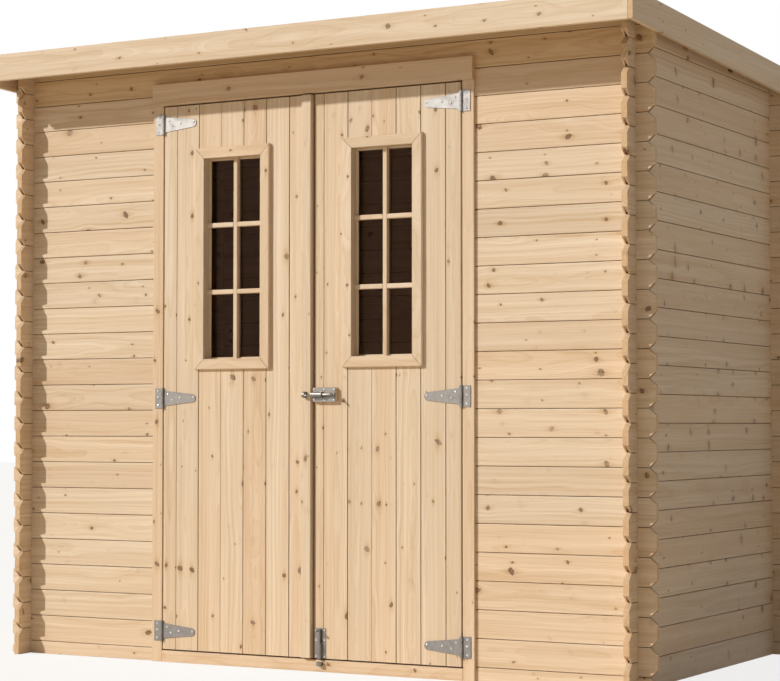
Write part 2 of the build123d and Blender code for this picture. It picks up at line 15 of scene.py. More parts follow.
import bmesh
import bpy
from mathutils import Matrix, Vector


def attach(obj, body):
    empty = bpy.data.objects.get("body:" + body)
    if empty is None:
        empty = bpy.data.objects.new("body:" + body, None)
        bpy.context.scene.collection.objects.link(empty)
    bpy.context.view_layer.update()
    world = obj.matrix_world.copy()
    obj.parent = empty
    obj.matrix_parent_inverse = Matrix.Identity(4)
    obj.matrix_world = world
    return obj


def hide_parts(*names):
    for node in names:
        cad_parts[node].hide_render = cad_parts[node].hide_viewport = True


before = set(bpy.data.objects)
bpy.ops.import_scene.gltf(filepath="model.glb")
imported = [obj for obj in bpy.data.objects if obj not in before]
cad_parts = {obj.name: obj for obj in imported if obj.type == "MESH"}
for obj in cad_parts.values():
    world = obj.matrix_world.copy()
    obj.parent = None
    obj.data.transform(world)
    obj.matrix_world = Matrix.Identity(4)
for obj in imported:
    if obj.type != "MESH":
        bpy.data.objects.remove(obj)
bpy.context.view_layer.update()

log = logging.getLogger("shed")

FAR = 100.0
WELD = 2e-6
CLEAR = 0.0002
QUARTER = 90.0
GRAIN = "grain"
BOARD_SEED = "board_seed"
# Face attribute of end grain, from 0 to 1, which also carries the mark of faces inside a board
# joint that get painted shade.
END_GRAIN_AND_JOINT_SHADE = "end_grain"
# Mark of the faces inside a board joint, which the wood finish paints dark as painted shade.
JOINT_SHADE_FACE = 3.0
FACING = "facing"
STEEL = "galvanised_steel"
MIX_INPUTS = (0, 6, 7)
MIX_OUTPUT = 2
SEEN_RAYS = ("Is Camera Ray", "Is Glossy Ray", "Is Transmission Ray")
X, Y, Z = Vector((1, 0, 0)), Vector((0, 1, 0)), Vector((0, 0, 1))

Point2 = tuple[float, float]
Colour = tuple[float, float, float, float]
Spot = tuple[Vector, Vector]
Object = bpy.types.Object
Material = bpy.types.Material
Mesh = bmesh.types.BMesh
Vert = bmesh.types.BMVert
Socket = bpy.types.NodeSocket
Feed = Union["Term", Socket, str, float, Sequence[float]]
Feeds = dict[Union[str, int], Feed]


@dataclass(frozen=True)
class ShedSizes:
    """Sizes and places that several sub-assemblies share."""

    pitch: float = 0.088
    wall: float = 0.019
    half_width: float = 1.1385
    front_y: float = -0.5525
    rear_y: float = 0.6625
    wall_height: float = 2.020
    roof_fall: float = 0.030
    front_reach: float = 0.060
    side_reach: float = 0.066
    end_chamfer: float = 0.022
    notch_slack: float = 0.00015
    panel_end: float = 0.583
    lintel_course: float = 1.892
    door_face: float = -0.5625
    door_back: float = -0.5425
    leaf_bottom: float = 0.043
    leaf_top: float = 1.851
    leaf_edge: float = 0.558
    window_x: float = 0.282
    window_middle: float = 1.336
    window_wide: float = 0.110
    window_high: float = 0.332

    def roof_line(self, y: float) -> float:
        """Height of the underside of the roof boards at y."""
        return self.wall_height - self.roof_fall * (y - self.front_y)


SIZES = ShedSizes()


class Side(Enum):
    """Side of the doorway that a leaf hangs on."""

    LEFT = -1
    RIGHT = 1

    @property
    def label(self) -> str:
        """Start of the names of the side's pieces."""
        return self.name.lower()

    @property
    def body(self) -> str:
        """Body of the side's leaf."""
        return self.label + "_door"

    @property
    def window(self) -> Vector:
        """Middle of the leaf's window, in the plane y = 0."""
        return Vector((self.value * SIZES.window_x, 0, SIZES.window_middle))


@dataclass(frozen=True)
class Setting:
    """Own axes of a board, wall or leaf in the shed's frame."""

    origin: Vector
    along: Vector
    across: Vector
    inward: Vector

    def point(self, along: float, across: float, depth: float) -> Vector:
        """Place of a point that is given on the board's own axes."""
        return self.origin + along * self.along + across * self.across + depth * self.inward


@dataclass(frozen=True)
class Cut:
    """Cross cut of a board: where it lies, and how much of the section is left there."""

    along: float
    low: float = -FAR
    high: float = FAR
    mitre: float = 0.0
    tilt: float = 0.0
    lift: float = 0.0

    def trim(self, across: float, depth: float) -> tuple[float, float, float]:
        """Places along, across and through the board of a point of the section at the cut."""
        left = min(max(across, self.low), self.high + self.tilt * depth)
        return self.along + self.mitre * left, left, depth + self.lift


def arc(middle: Point2, radius: float, start: float, turn: float, steps: int) -> list[Point2]:
    """Points of an arc round a middle, whose angles are in degrees."""
    turns = [math.radians(start + turn * step / steps) for step in range(steps + 1)]
    return [(middle[0] + radius * math.cos(t), middle[1] + radius * math.sin(t)) for t in turns]


def rounded(
    low: float, high: float, front: float, back: float, radius: float, steps: int = 2
) -> list[Point2]:
    """Rectangle with rounded corners: a timber's section or a plate's outline.

    Args:
        low: lowest place across.
        high: highest place across.
        front: lowest place the other way.
        back: highest place the other way.
        radius: radius of the corners.
        steps: facets of each corner.

    Returns:
        The outline.
    """
    near, far = front + radius, back - radius
    left, right = low + radius, high - radius
    corners = ((right, near), (right, far), (left, far), (left, near))
    quarters = [
        arc(corner, radius, QUARTER * (index - 1), QUARTER, steps)
        for index, corner in enumerate(corners)
    ]
    return sum(quarters, [])


@dataclass(frozen=True)
class Matchboard:
    """Section of a tongued and grooved board with V-cut edges on both faces."""

    thickness: float = SIZES.wall
    vee: float = 0.0024
    gap: float = 0.0015
    tongue: float = 0.006
    tongue_width: float = 0.005
    slack: float = 0.0005

    @property
    def inside(self) -> Point2:
        """Depths between which the joint lies."""
        return 0.9 * self.vee, self.thickness - 0.9 * self.vee

    def section(
        self, low: float, high: float, grooved: bool = True, tongued: bool = True,
        gaps: Optional[Point2] = None,
    ) -> list[Point2]:
        """Outline of a board that fills the space between two joints.

        Args:
            low: place of the joint at the grooved edge.
            high: place of the joint at the tongued edge.
            grooved: whether the low edge has its groove.
            tongued: whether the high edge has its tongue.
            gaps: widths of the two open joints, where they aren't the usual one.

        Returns:
            The outline as (across, depth) points.
        """
        low_gap, high_gap = gaps or (self.gap, self.gap)
        bottom, top = low + low_gap / 2, high - high_gap / 2
        vee, shoulder, back = self.vee, 0.3 * self.vee, self.thickness
        middle, half = back / 2, self.tongue_width / 2
        tip, root, wide = top + self.tongue, bottom + self.tongue + self.slack, half + self.slack
        tongue = [
            (top, middle - half), (tip, middle - half), (tip, middle + half), (top, middle + half)
        ]
        groove = [
            (bottom, middle + wide), (root, middle + wide), (root, middle - wide),
            (bottom, middle - wide),
        ]
        return [
            (bottom + vee, 0.0), (top - vee, 0.0), (top - shoulder, shoulder), (top, vee),
            *(tongue if tongued else []),
            (top, back - vee), (top - shoulder, back - shoulder), (top - vee, back),
            (bottom + vee, back), (bottom + shoulder, back - shoulder), (bottom, back - vee),
            *(groove if grooved else []),
            (bottom, vee), (bottom + shoulder, shoulder),
        ]


def linked_object(name: str, mesh: Mesh) -> Object:
    """Writes a mesh to a new object of the scene and frees it.

    Args:
        name: name of the object.
        mesh: its shape, in the shed's frame.

    Returns:
        The object, at the origin.
    """
    data = bpy.data.meshes.new(name)
    mesh.to_mesh(data)
    mesh.free()
    piece = bpy.data.objects.new(name, data)
    bpy.context.scene.collection.objects.link(piece)
    return piece


def between(
    rings: Sequence[Sequence[Vert]], closed: bool = False
) -> list[tuple[int, tuple[Vert, ...]]]:
    """Faces that join rings of vertices.

    Args:
        rings: equally long rings in order.
        closed: whether the last ring joins the first.

    Returns:
        Each face's number in its row, and its corners.
    """
    faces = []
    for first, second in zip(rings, [*rings[1:], *rings[:closed]]):
        for index in range(len(first)):
            after = (index + 1) % len(first)
            faces.append((index, (first[index], first[after], second[after], second[index])))
    return faces


class Mill:
    """Collects boards as closed shells of one mesh, with the data that their finish reads."""

    side_limit = 0.1

    def __init__(self) -> None:
        """Starts with an empty mesh."""
        self.mesh = bmesh.new()
        self.grain = self.mesh.verts.layers.float_vector.new(GRAIN)
        self.seed = self.mesh.verts.layers.float.new(BOARD_SEED)
        self.sawn = self.mesh.faces.layers.float.new(END_GRAIN_AND_JOINT_SHADE)

    def board(
        self, section: Sequence[Point2], cuts: Sequence[Cut], setting: Setting, middle: float,
        seed: float, inside: Point2 = (FAR, FAR),
    ) -> None:
        """Adds one board, drawn through its cross cuts in order.

        Args:
            section: full outline of the board as (across, depth) points.
            cuts: cross cuts from one end to the other.
            setting: the board's own axes.
            middle: place of the board's middle line across, from which its grain is measured.
            seed: number from 0 to 1 that makes its grain and tone its own.
            inside: depths between which the short faces of its edges lie inside a joint, where the
                wood finish paints shade on them.
        """
        rings = []
        for cut in cuts:
            ring = []
            for across, depth in section:
                along, left, through = cut.trim(across, depth)
                vertex = self.mesh.verts.new(setting.point(along, left, through))
                vertex[self.grain] = Vector((along, left - middle, through))
                vertex[self.seed] = seed
                ring.append(vertex)
            rings.append(ring)
        made = [(rings[0], False), (rings[-1][::-1], False)]
        low, high = inside
        for index, corners in between(rings):
            near, far = sorted((section[index][1], section[(index + 1) % len(section)][1]))
            # Short faces that lie inside a joint are marked, and the wood finish paints shade on
            # them.
            in_joint_shade = low <= near and far <= high and far - near < (high - low) / 2
            made.append((corners, in_joint_shade))
        for corners, in_joint_shade in made:
            face = self.mesh.faces.new(corners)
            face.normal_update()
            sawn = abs(face.normal.dot(setting.along))
            face[self.sawn] = JOINT_SHADE_FACE if in_joint_shade and sawn < self.side_limit else sawn
        every = [vertex for ring in rings for vertex in ring]
        bmesh.ops.remove_doubles(self.mesh, verts=every, dist=WELD)

    def matched(
        self, stock: Matchboard, low: float, high: float, cuts: Sequence[Cut], setting: Setting,
        seed: float = 0.0, **edges: object,
    ) -> None:
        """Adds a tongued and grooved board, whose edges are as the stock's section takes them."""
        section = stock.section(low, high, **edges)
        self.board(section, cuts, setting, (low + high) / 2, seed, stock.inside)

    def finish(self, name: str) -> Object:
        """Makes the collected boards an object, with their faces turned outwards.

        Args:
            name: name of the object.

        Returns:
            The object, at the origin.
        """
        bmesh.ops.dissolve_degenerate(self.mesh, dist=WELD, edges=self.mesh.edges[:])
        bmesh.ops.recalc_face_normals(self.mesh, faces=self.mesh.faces[:])
        return linked_object(name, self.mesh)


class Term:
    """Output of a node, on which arithmetic adds Math nodes."""

    def __init__(self, graph: "Graph", socket: Socket) -> None:
        """Keeps the socket and its graph."""
        self.graph, self.socket = graph, socket

    def __add__(self, other: Feed) -> "Term":
        """Sum with a number or an output."""
        return self.graph.math("ADD", self, other)

    def __sub__(self, other: Feed) -> "Term":
        """Difference from a number or an output."""
        return self.graph.math("SUBTRACT", self, other)

    def __mul__(self, other: Feed) -> "Term":
        """Product with a number or an output."""
        return self.graph.math("MULTIPLY", self, other)

    def __truediv__(self, other: Feed) -> "Term":
        """Quotient by a number or an output."""
        return self.graph.math("DIVIDE", self, other)

    def __pow__(self, power: float) -> "Term":
        """Power with a fixed exponent."""
        return self.graph.math("POWER", self, power)


class Graph:
    """Short way to build a node tree."""

    def __init__(self, tree: bpy.types.NodeTree) -> None:
        """Works on one tree."""
        self.tree = tree

    @classmethod
    def group(
        cls, name: str, kind: str, inputs: dict[str, str], outputs: dict[str, str]
    ) -> "Graph":
        """Starts a node group.

        Args:
            name: name of the group.
            kind: kind of its tree.
            inputs: kind of each input, by name.
            outputs: kind of each output, by name.

        Returns:
            Its graph.
        """
        tree = bpy.data.node_groups.new(name, kind)
        for way, sockets in (("INPUT", inputs), ("OUTPUT", outputs)):
            for label, socket in sockets.items():
                tree.interface.new_socket(label, in_out=way, socket_type="NodeSocket" + socket)
        return cls(tree)

    def feed(self, socket: Socket, value: Feed) -> None:
        """Links an output to an input, or sets the input to a constant.

        Args:
            socket: the input.
            value: the output or the constant.
        """
        value = value.socket if isinstance(value, Term) else value
        if isinstance(value, bpy.types.NodeSocket):
            self.tree.links.new(value, socket)
        else:
            socket.default_value = value

    def add(self, kind: str, feeds: Optional[Feeds] = None, **values: object) -> bpy.types.Node:
        """Adds a node.

        Args:
            kind: type of the node.
            feeds: what each input gets, by name or number.
            values: the node's own values.

        Returns:
            The node.
        """
        node = self.tree.nodes.new(kind)
        for name, value in values.items():
            setattr(node, name, value)
        for key, value in (feeds or {}).items():
            self.feed(node.inputs[key], value)
        return node

    def out(
        self, kind: str, output: Union[str, int], feeds: Optional[Feeds] = None, **values: object
    ) -> Term:
        """Adds a node as add does, and gives one of its outputs."""
        return Term(self, self.add(kind, feeds, **values).outputs[output])

    def given(self) -> dict[str, Term]:
        """Inputs of the node group, by name."""
        return {s.name: Term(self, s) for s in self.add("NodeGroupInput").outputs}

    def give(self, **values: Feed) -> None:
        """Feeds the node group's outputs."""
        self.add("NodeGroupOutput", values)

    def use(self, name: str, feeds: Feeds) -> dict[str, Term]:
        """Places a shader node group and gives its outputs, by name."""
        node = self.add("ShaderNodeGroup", feeds, node_tree=bpy.data.node_groups[name])
        return {socket.name: Term(self, socket) for socket in node.outputs}

    def math(self, operation: str, *terms: Feed) -> Term:
        """Result of a Math node."""
        return self.out("ShaderNodeMath", 0, dict(enumerate(terms)), operation=operation)

    def either(self, first: Term, *others: Term) -> Term:
        """The highest of some numbers."""
        return self.math("MAXIMUM", first, self.either(*others)) if others else first

    def length(self, first: Term, second: Term) -> Term:
        """Length of a vector of two numbers."""
        return self.math("SQRT", first * first + second * second)

    def separate(self, vector: Feed) -> tuple[Term, Term, Term]:
        """Splits a vector into its three numbers."""
        outputs = self.add("ShaderNodeSeparateXYZ", {0: vector}).outputs
        return Term(self, outputs[0]), Term(self, outputs[1]), Term(self, outputs[2])

    def stretch(self, parts: Sequence[Term], factors: Sequence[float]) -> Term:
        """Vector of three numbers, each times its own factor."""
        scaled = [part * factor for part, factor in zip(parts, factors)]
        return self.out("ShaderNodeCombineXYZ", 0, dict(enumerate(scaled)))

    def noise(
        self, place: Term, scale: float = 1.0, detail: float = 2.0, rough: float = 0.5,
        line: bool = False,
    ) -> Term:
        """Smooth noise from 0 to 1 at a place, which on a line is a number."""
        key, size = ("W", "1D") if line else ("Vector", "3D")
        return self.out("ShaderNodeTexNoise", "Fac", {
            key: place, "Scale": scale, "Detail": detail, "Roughness": rough
        }, noise_dimensions=size)

    def ramp(
        self, value: Feed, low: float, high: float, start: float = 0.0, end: float = 1.0
    ) -> Term:
        """Smooth step of a value from one range to another, held at its ends."""
        return self.out("ShaderNodeMapRange", "Result", {
            "Value": value, "From Min": low, "From Max": high, "To Min": start, "To Max": end
        }, interpolation_type="SMOOTHSTEP")

    def blend(self, factor: Feed, first: Feed, second: Feed, mode: str = "MIX") -> Term:
        """Mixes two colours, with the factor held between 0 and 1."""
        feeds = dict(zip(MIX_INPUTS, (factor, first, second)))
        return self.out("ShaderNodeMix", MIX_OUTPUT, feeds, data_type="RGBA", blend_type=mode)

    def attribute(self, name: str, output: str = "Fac") -> Term:
        """Reads one of the mesh's own attributes."""
        return self.out("ShaderNodeAttribute", output, attribute_name=name)

    def place(self) -> Term:
        """Object coordinates."""
        return self.out("ShaderNodeTexCoord", "Object")

    def relief(self, height: Feed, strength: float, distance: float) -> Term:
        """Normal of a bumpy surface."""
        return self.out("ShaderNodeBump", "Normal", {
            "Strength": strength, "Distance": distance, "Height": height
        })

    def seen(self) -> Term:
        """1 for what the camera, metal and glass see, and 0 for the light on the shed."""
        rays = [Term(self, socket) for socket in self.add("ShaderNodeLightPath").outputs]
        return self.either(*[ray for ray in rays if ray.socket.name in SEEN_RAYS])


def linear(*levels: int) -> Colour:
    """Linear colour of an sRGB one, whose three levels go from 0 to 255."""
    parts = [level / 255 for level in levels]
    return (*[p / 12.92 if p <= 0.04045 else ((p + 0.055) / 1.055) ** 2.4 for p in parts], 1.0)


WHITE = (1.0, 1.0, 1.0, 1.0)


class SoftwoodFigure:
    """Shader group of softwood: growth rings, streaks, knots and the tone of each board."""

    name = "softwood_figure"
    inputs = {"Grain": "Vector", "Board": "Float", "Knot share": "Float", "Knot size": "Float",
              "Knot stretch": "Float", "Ring width": "Float"}
    outputs = ("Ring", "Band", "Streak", "Knot", "Rim", "Halo", "Tone", "Hue", "Height")
    lucks = (973.1, 571.7)
    shift = (41.0, 7.0, 3.0)
    knot_spacing = (0.17, 0.050)
    knot_ragged = (190.0, 190.0, 190.0)
    core_reach = (1.05, 0.55)
    rim_middle = 0.80
    rim_half = 0.30
    halo_spread = (3.2, 1.35)
    swerve_spread = (4.0, 2.2)
    swerve_strength = 0.85
    ring_crowding = 2.2
    ring_edge = (0.92, 1.0)
    uneven = (60.0, 3.5)
    pith_aside = (0.12, 0.06)
    pith_deep = (0.09, 0.025)
    wander = (0.05, 0.015)
    fine_scale = (2.4, 210.0, 210.0)
    broad_scale = (0.9, 34.0, 34.0)
    fibre_scale = (40.0, 1500.0, 1500.0)
    band_scale = 150.0
    wander_scale = (1.5, 4.0, 4.0)

    def __init__(self) -> None:
        """Builds the group once."""
        outputs = dict.fromkeys(self.outputs, "Float")
        self.graph = graph = Graph.group(self.name, "ShaderNodeTree", self.inputs, outputs)
        self.given = graph.given()
        along, across, depth = graph.separate(self.given["Grain"])
        one, two, three = self.luck(self.lucks[0])
        knotty, warp, _ = self.luck(self.lucks[1])
        shifts = [part * by for part, by in zip((self.given["Board"], one, two), self.shift)]
        moved = (shifts[0] + along, shifts[1] + across, shifts[2] + depth)
        core, rim, halo, swerve = self.knots(moved, knotty)
        reach = self.reach((moved[0], across - swerve, depth), (one, warp, three))
        ring = self.rings(reach)
        lines = (moved[0], moved[1] - swerve, moved[2])
        fine = graph.noise(graph.stretch(lines, self.fine_scale), detail=3.0, rough=0.6)
        broad = graph.noise(graph.stretch(lines, self.broad_scale), detail=3.0)
        fibre = graph.noise(graph.stretch(lines, self.fibre_scale))
        graph.give(
            Ring=ring, Band=graph.noise(reach * self.band_scale + one, detail=3.0, line=True),
            Streak=broad * 0.5 + fine * 0.5, Knot=core, Rim=rim, Halo=halo, Tone=two, Hue=three,
            Height=ring * 0.5 + fibre * 0.5,
        )

    def luck(self, factor: float) -> tuple[Term, Term, Term]:
        """Three random numbers of a board."""
        return self.graph.separate(self.graph.out(
            "ShaderNodeTexWhiteNoise", "Color", {"W": self.given["Board"] * factor},
            noise_dimensions="1D",
        ))

    def knots(self, moved: Sequence[Term], knotty: Term) -> tuple[Term, Term, Term, Term]:
        """Knots at scattered places, and how far the grain swerves round them.

        Args:
            moved: place on the board, with the board's own shift.
            knotty: random number that makes some boards knottier than others.

        Returns:
            Masks of the knots' cores, rims and halos, and the swerve of the grain.
        """
        graph, stretch = self.graph, self.given["Knot stretch"]
        long, wide = self.knot_spacing
        spot = graph.stretch(moved, (1 / long, 1 / wide, 0.0))
        cells = graph.add(
            "ShaderNodeTexVoronoi", {"Vector": spot, "Scale": 1.0, "Randomness": 0.9},
            voronoi_dimensions="2D",
        ).outputs
        away = graph.out(
            "ShaderNodeVectorMath", 0, {0: spot, 1: cells["Position"]}, operation="SUBTRACT"
        )
        far_long, far_wide, _ = graph.separate(away)
        far = (far_long * long, far_wide * wide)
        here, size, shape = graph.separate(cells["Color"])
        present = graph.math("LESS_THAN", here, self.given["Knot share"] * (knotty + 0.5))
        radius = self.given["Knot size"] * (size ** 2.2 + 0.30)
        ragged = graph.noise(graph.stretch(moved, self.knot_ragged)) + 0.5
        near_long = ((shape - 0.5) * far[1] + far[0]) * (shape * (stretch * 0.5) + 0.7)
        near_wide = far[1] / (shape * stretch + 1.0)
        reach = graph.length(near_long, near_wide) / radius * ragged
        core = graph.ramp(reach, *self.core_reach) * present
        off = graph.math("ABSOLUTE", (reach - self.rim_middle) / self.rim_half)
        rim = graph.math("MAXIMUM", graph.math("SUBTRACT", 1.0, off), 0.0) * present
        halo = self.bell(far, radius, self.halo_spread) * present
        bend = self.bell(far, radius, self.swerve_spread) * far[1]
        return core, rim, halo, bend * self.swerve_strength * present

    def bell(self, far: tuple[Term, Term], radius: Term, spread: Point2) -> Term:
        """Soft mask round a knot, with its reach along and across the grain in radii."""
        first, second = (part / (radius * share) for part, share in zip(far, spread))
        return self.graph.math("EXPONENT", (first * first + second * second) * -1.0)

    def reach(self, place: Sequence[Term], luck: Sequence[Term]) -> Term:
        """Distance from a pith that lies behind the board and wanders along it.

        Args:
            place: place on the board, with the grain's swerve taken off.
            luck: three random numbers of the board.

        Returns:
            The distance in metres.
        """
        (aside, half), (deep, least), (most, some) = self.pith_aside, self.pith_deep, self.wander
        across = place[1] - (luck[0] * aside - half)
        depth = place[2] + (luck[2] * deep + least)
        scaled = self.graph.stretch(place, self.wander_scale)
        wander = self.graph.noise(scaled, detail=3.0, rough=0.55)
        return wander * (luck[1] * most + some) + self.graph.length(across, depth)

    def rings(self, reach: Term) -> Term:
        """Growth rings of uneven width, 0 in early wood to 1 in late wood.

        Args:
            reach: distance from the pith.

        Returns:
            The rings.
        """
        scale, strength = self.uneven
        uneven = self.graph.noise(reach * scale, line=True) * strength
        part = self.graph.math("FRACT", uneven + reach / self.given["Ring width"])
        return part ** self.ring_crowding * self.graph.ramp(part, *self.ring_edge, 1.0, 0.0)


class MetalWear:
    """Shader group of zinc plate: crystals, dull patches and fine scratches."""

    name = "zinc_wear"
    outputs = ("Crystal", "Dull", "Scratch")
    crystal_scale = 260.0
    dull_scale = 38.0
    scratch_scale = (120.0, 120.0, 2600.0)

    def __init__(self) -> None:
        """Builds the group once."""
        outputs = dict.fromkeys(self.outputs, "Float")
        graph = Graph.group(self.name, "ShaderNodeTree", {"Place": "Vector"}, outputs)
        place = graph.given()["Place"]
        crystals = graph.out(
            "ShaderNodeTexVoronoi", "Color", {"Vector": place, "Scale": self.crystal_scale}
        )
        graph.give(
            Crystal=graph.separate(crystals)[0], Dull=graph.noise(place, self.dull_scale, 4.0, 0.6),
            Scratch=graph.noise(graph.stretch(graph.separate(place), self.scratch_scale)),
        )


@dataclass(frozen=True)
class Finish:
    """Finish of a piece, which says what its surface shader is fed."""

    name: str

    def material(self) -> Material:
        """Builds the material.

        Returns:
            The material.
        """
        made = bpy.data.materials.new(self.name)
        made.use_nodes = True
        graph = Graph(made.node_tree)
        shader = made.node_tree.nodes["Principled BSDF"]
        for label, value in self.surface(graph).items():
            graph.feed(shader.inputs[label], value)
        return made

    def surface(self, graph: Graph) -> dict[str, Feed]:
        """What each input of the surface shader gets."""
        raise NotImplementedError


@dataclass(frozen=True)
class SoftwoodFinish(Finish):
    """Planed softwood, which reads each board's own grain and seed, and paints shade on the faces
    inside its joints.
    """

    pale: Colour = linear(229, 210, 186)
    deep: Colour = linear(192, 158, 115)
    ruddy: Colour = linear(255, 249, 243)
    knot: Colour = linear(122, 83, 54)
    rim: Colour = linear(66, 42, 29)
    end: Colour = linear(244, 230, 210)
    # Painted shade: dark colour given to the faces inside the board joints in place of the shade
    # that falls there.
    joint: Colour = linear(92, 62, 38)
    base_depth: float = 0.28
    ring_strength: float = 0.25
    band_strength: float = 0.72
    streak_strength: float = 1.7
    halo_strength: float = 0.55
    tone_range: float = 0.10
    knot_share: float = 0.42
    knot_size: float = 0.0074
    knot_stretch: float = 0.5
    ring_width: float = 0.0030
    roughness: float = 0.60
    ring_gloss: float = -0.08
    knot_gloss: float = -0.14
    specular: float = 0.3
    bump: float = 0.35
    bump_depth: float = 0.0003
    ruddy_range: Point2 = (0.35, 1.0)
    knot_cover: float = 0.9
    rim_cover: float = 0.8
    darkest: float = 0.6

    def surface(self, graph: Graph) -> dict[str, Feed]:
        """What each input of the surface shader gets.

        Args:
            graph: the material's graph.

        Returns:
            Outputs and constants by input.
        """
        out = graph.use(SoftwoodFigure.name, {
            "Grain": graph.attribute(GRAIN, "Vector"), "Board": graph.attribute(BOARD_SEED),
            "Knot share": self.knot_share, "Knot size": self.knot_size,
            "Knot stretch": self.knot_stretch, "Ring width": self.ring_width,
        })
        return {
            "Base Color": self.colour(graph, out),
            "Roughness": out["Knot"] * self.knot_gloss
            + (out["Ring"] * self.ring_gloss + self.roughness),
            "Specular IOR Level": self.specular,
            "Normal": graph.relief(out["Height"], self.bump, self.bump_depth),
        }

    def colour(self, graph: Graph, out: dict[str, Term]) -> Term:
        """Colour of the wood, with painted shade on the faces inside the board joints.

        Args:
            graph: the material's graph.
            out: outputs of the figure's group.

        Returns:
            The colour.
        """
        depth = (out["Streak"] - 0.5) * self.streak_strength + self.base_depth
        depth = (out["Band"] - 0.5) * self.band_strength + depth
        depth = out["Halo"] * self.halo_strength + (out["Ring"] * self.ring_strength + depth)
        colour = graph.blend(depth, self.pale, self.deep)
        ruddy = graph.ramp(out["Hue"], *self.ruddy_range)
        colour = graph.blend(ruddy, colour, self.ruddy, "MULTIPLY")
        shade = out["Tone"] * self.tone_range + (1.0 - self.tone_range * self.darkest)
        grey = graph.stretch((shade, shade, shade), (1.0, 1.0, 1.0))
        colour = graph.blend(1.0, colour, grey, "MULTIPLY")
        colour = graph.blend(out["Knot"] * self.knot_cover, colour, self.knot)
        colour = graph.blend(out["Rim"] * self.rim_cover, colour, self.rim)
        # The attribute holds end grain from 0 to 1, and the mark of faces inside a joint that get
        # painted shade.
        sawn = graph.attribute(END_GRAIN_AND_JOINT_SHADE)
        colour = graph.blend(sawn, colour, self.end, "MULTIPLY")
        # Painted shade: faces marked as inside a joint are turned to the dark joint colour.
        return graph.blend(graph.ramp(sawn, 1.0, JOINT_SHADE_FACE), colour, self.joint)


@dataclass(frozen=True)
class ZincFinish(Finish):
    """Zinc-plated steel."""

    bright: Colour
    dull: Colour
    roughness: float = 0.34
    patch_range: Point2 = (0.35, 0.70)
    crystal_share: float = 0.35
    patch_share: float = 0.5
    patch_rough: float = 0.16
    scratch_rough: float = 0.08

    def surface(self, graph: Graph) -> dict[str, Feed]:
        """What each input of the surface shader gets.

        Args:
            graph: the material's graph.

        Returns:
            Outputs and constants by input.
        """
        worn = graph.use(MetalWear.name, {"Place": graph.place()})
        patch = graph.ramp(worn["Dull"], *self.patch_range)
        mixed = worn["Crystal"] * self.crystal_share + patch * self.patch_share
        return {
            "Base Color": graph.blend(mixed, self.bright, self.dull),
            "Roughness": worn["Scratch"] * self.scratch_rough
            + (patch * self.patch_rough + self.roughness),
            "Metallic": 0.9,
            "Normal": graph.relief(worn["Scratch"], 0.2, 0.0002),
        }


@dataclass(frozen=True)
class GlassFinish(Finish):
    """Thin window glass, faintly wavy and dusty."""

    tint: Colour = linear(204, 194, 182)
    sheen: Colour = linear(146, 102, 78)

    def surface(self, graph: Graph) -> dict[str, Feed]:
        """What each input of the surface shader gets.

        Args:
            graph: the material's graph.

        Returns:
            Outputs and constants by input.
        """
        place = graph.place()
        return {
            "Base Color": self.tint, "Transmission Weight": 1.0, "IOR": 1.48,
            "Specular Tint": self.sheen,
            "Roughness": graph.ramp(graph.noise(place, 9.0, 5.0, 0.6), 0.45, 0.8, 0.0, 0.05),
            "Normal": graph.relief(graph.noise(place, 6.0, 1.0), 0.05, 0.002),
        }


@dataclass(frozen=True)
class FeltFinish(Finish):
    """Mineral-surfaced roofing felt, with stone chips and faint patches."""

    ground: Colour = linear(62, 64, 63)
    chip: Colour = linear(122, 126, 122)
    chip_scale: float = 620.0

    def surface(self, graph: Graph) -> dict[str, Feed]:
        """What each input of the surface shader gets.

        Args:
            graph: the material's graph.

        Returns:
            Outputs and constants by input.
        """
        place = graph.place()
        chips = graph.add(
            "ShaderNodeTexVoronoi", {"Vector": place, "Scale": self.chip_scale}
        ).outputs
        luck = graph.separate(chips["Color"])[0]
        patches = graph.ramp(graph.noise(place, 2.4, 4.0, 0.6), 0.2, 0.8, 0.45, 1.0)
        pale = graph.ramp(luck, 0.25, 1.0) * patches
        height = graph.math("SUBTRACT", 1.0, chips["Distance"])
        return {
            "Base Color": graph.blend(pale, self.ground, self.chip),
            "Roughness": luck * 0.12 + 0.82,
            "Normal": graph.relief(height, 0.6, 0.0012),
        }


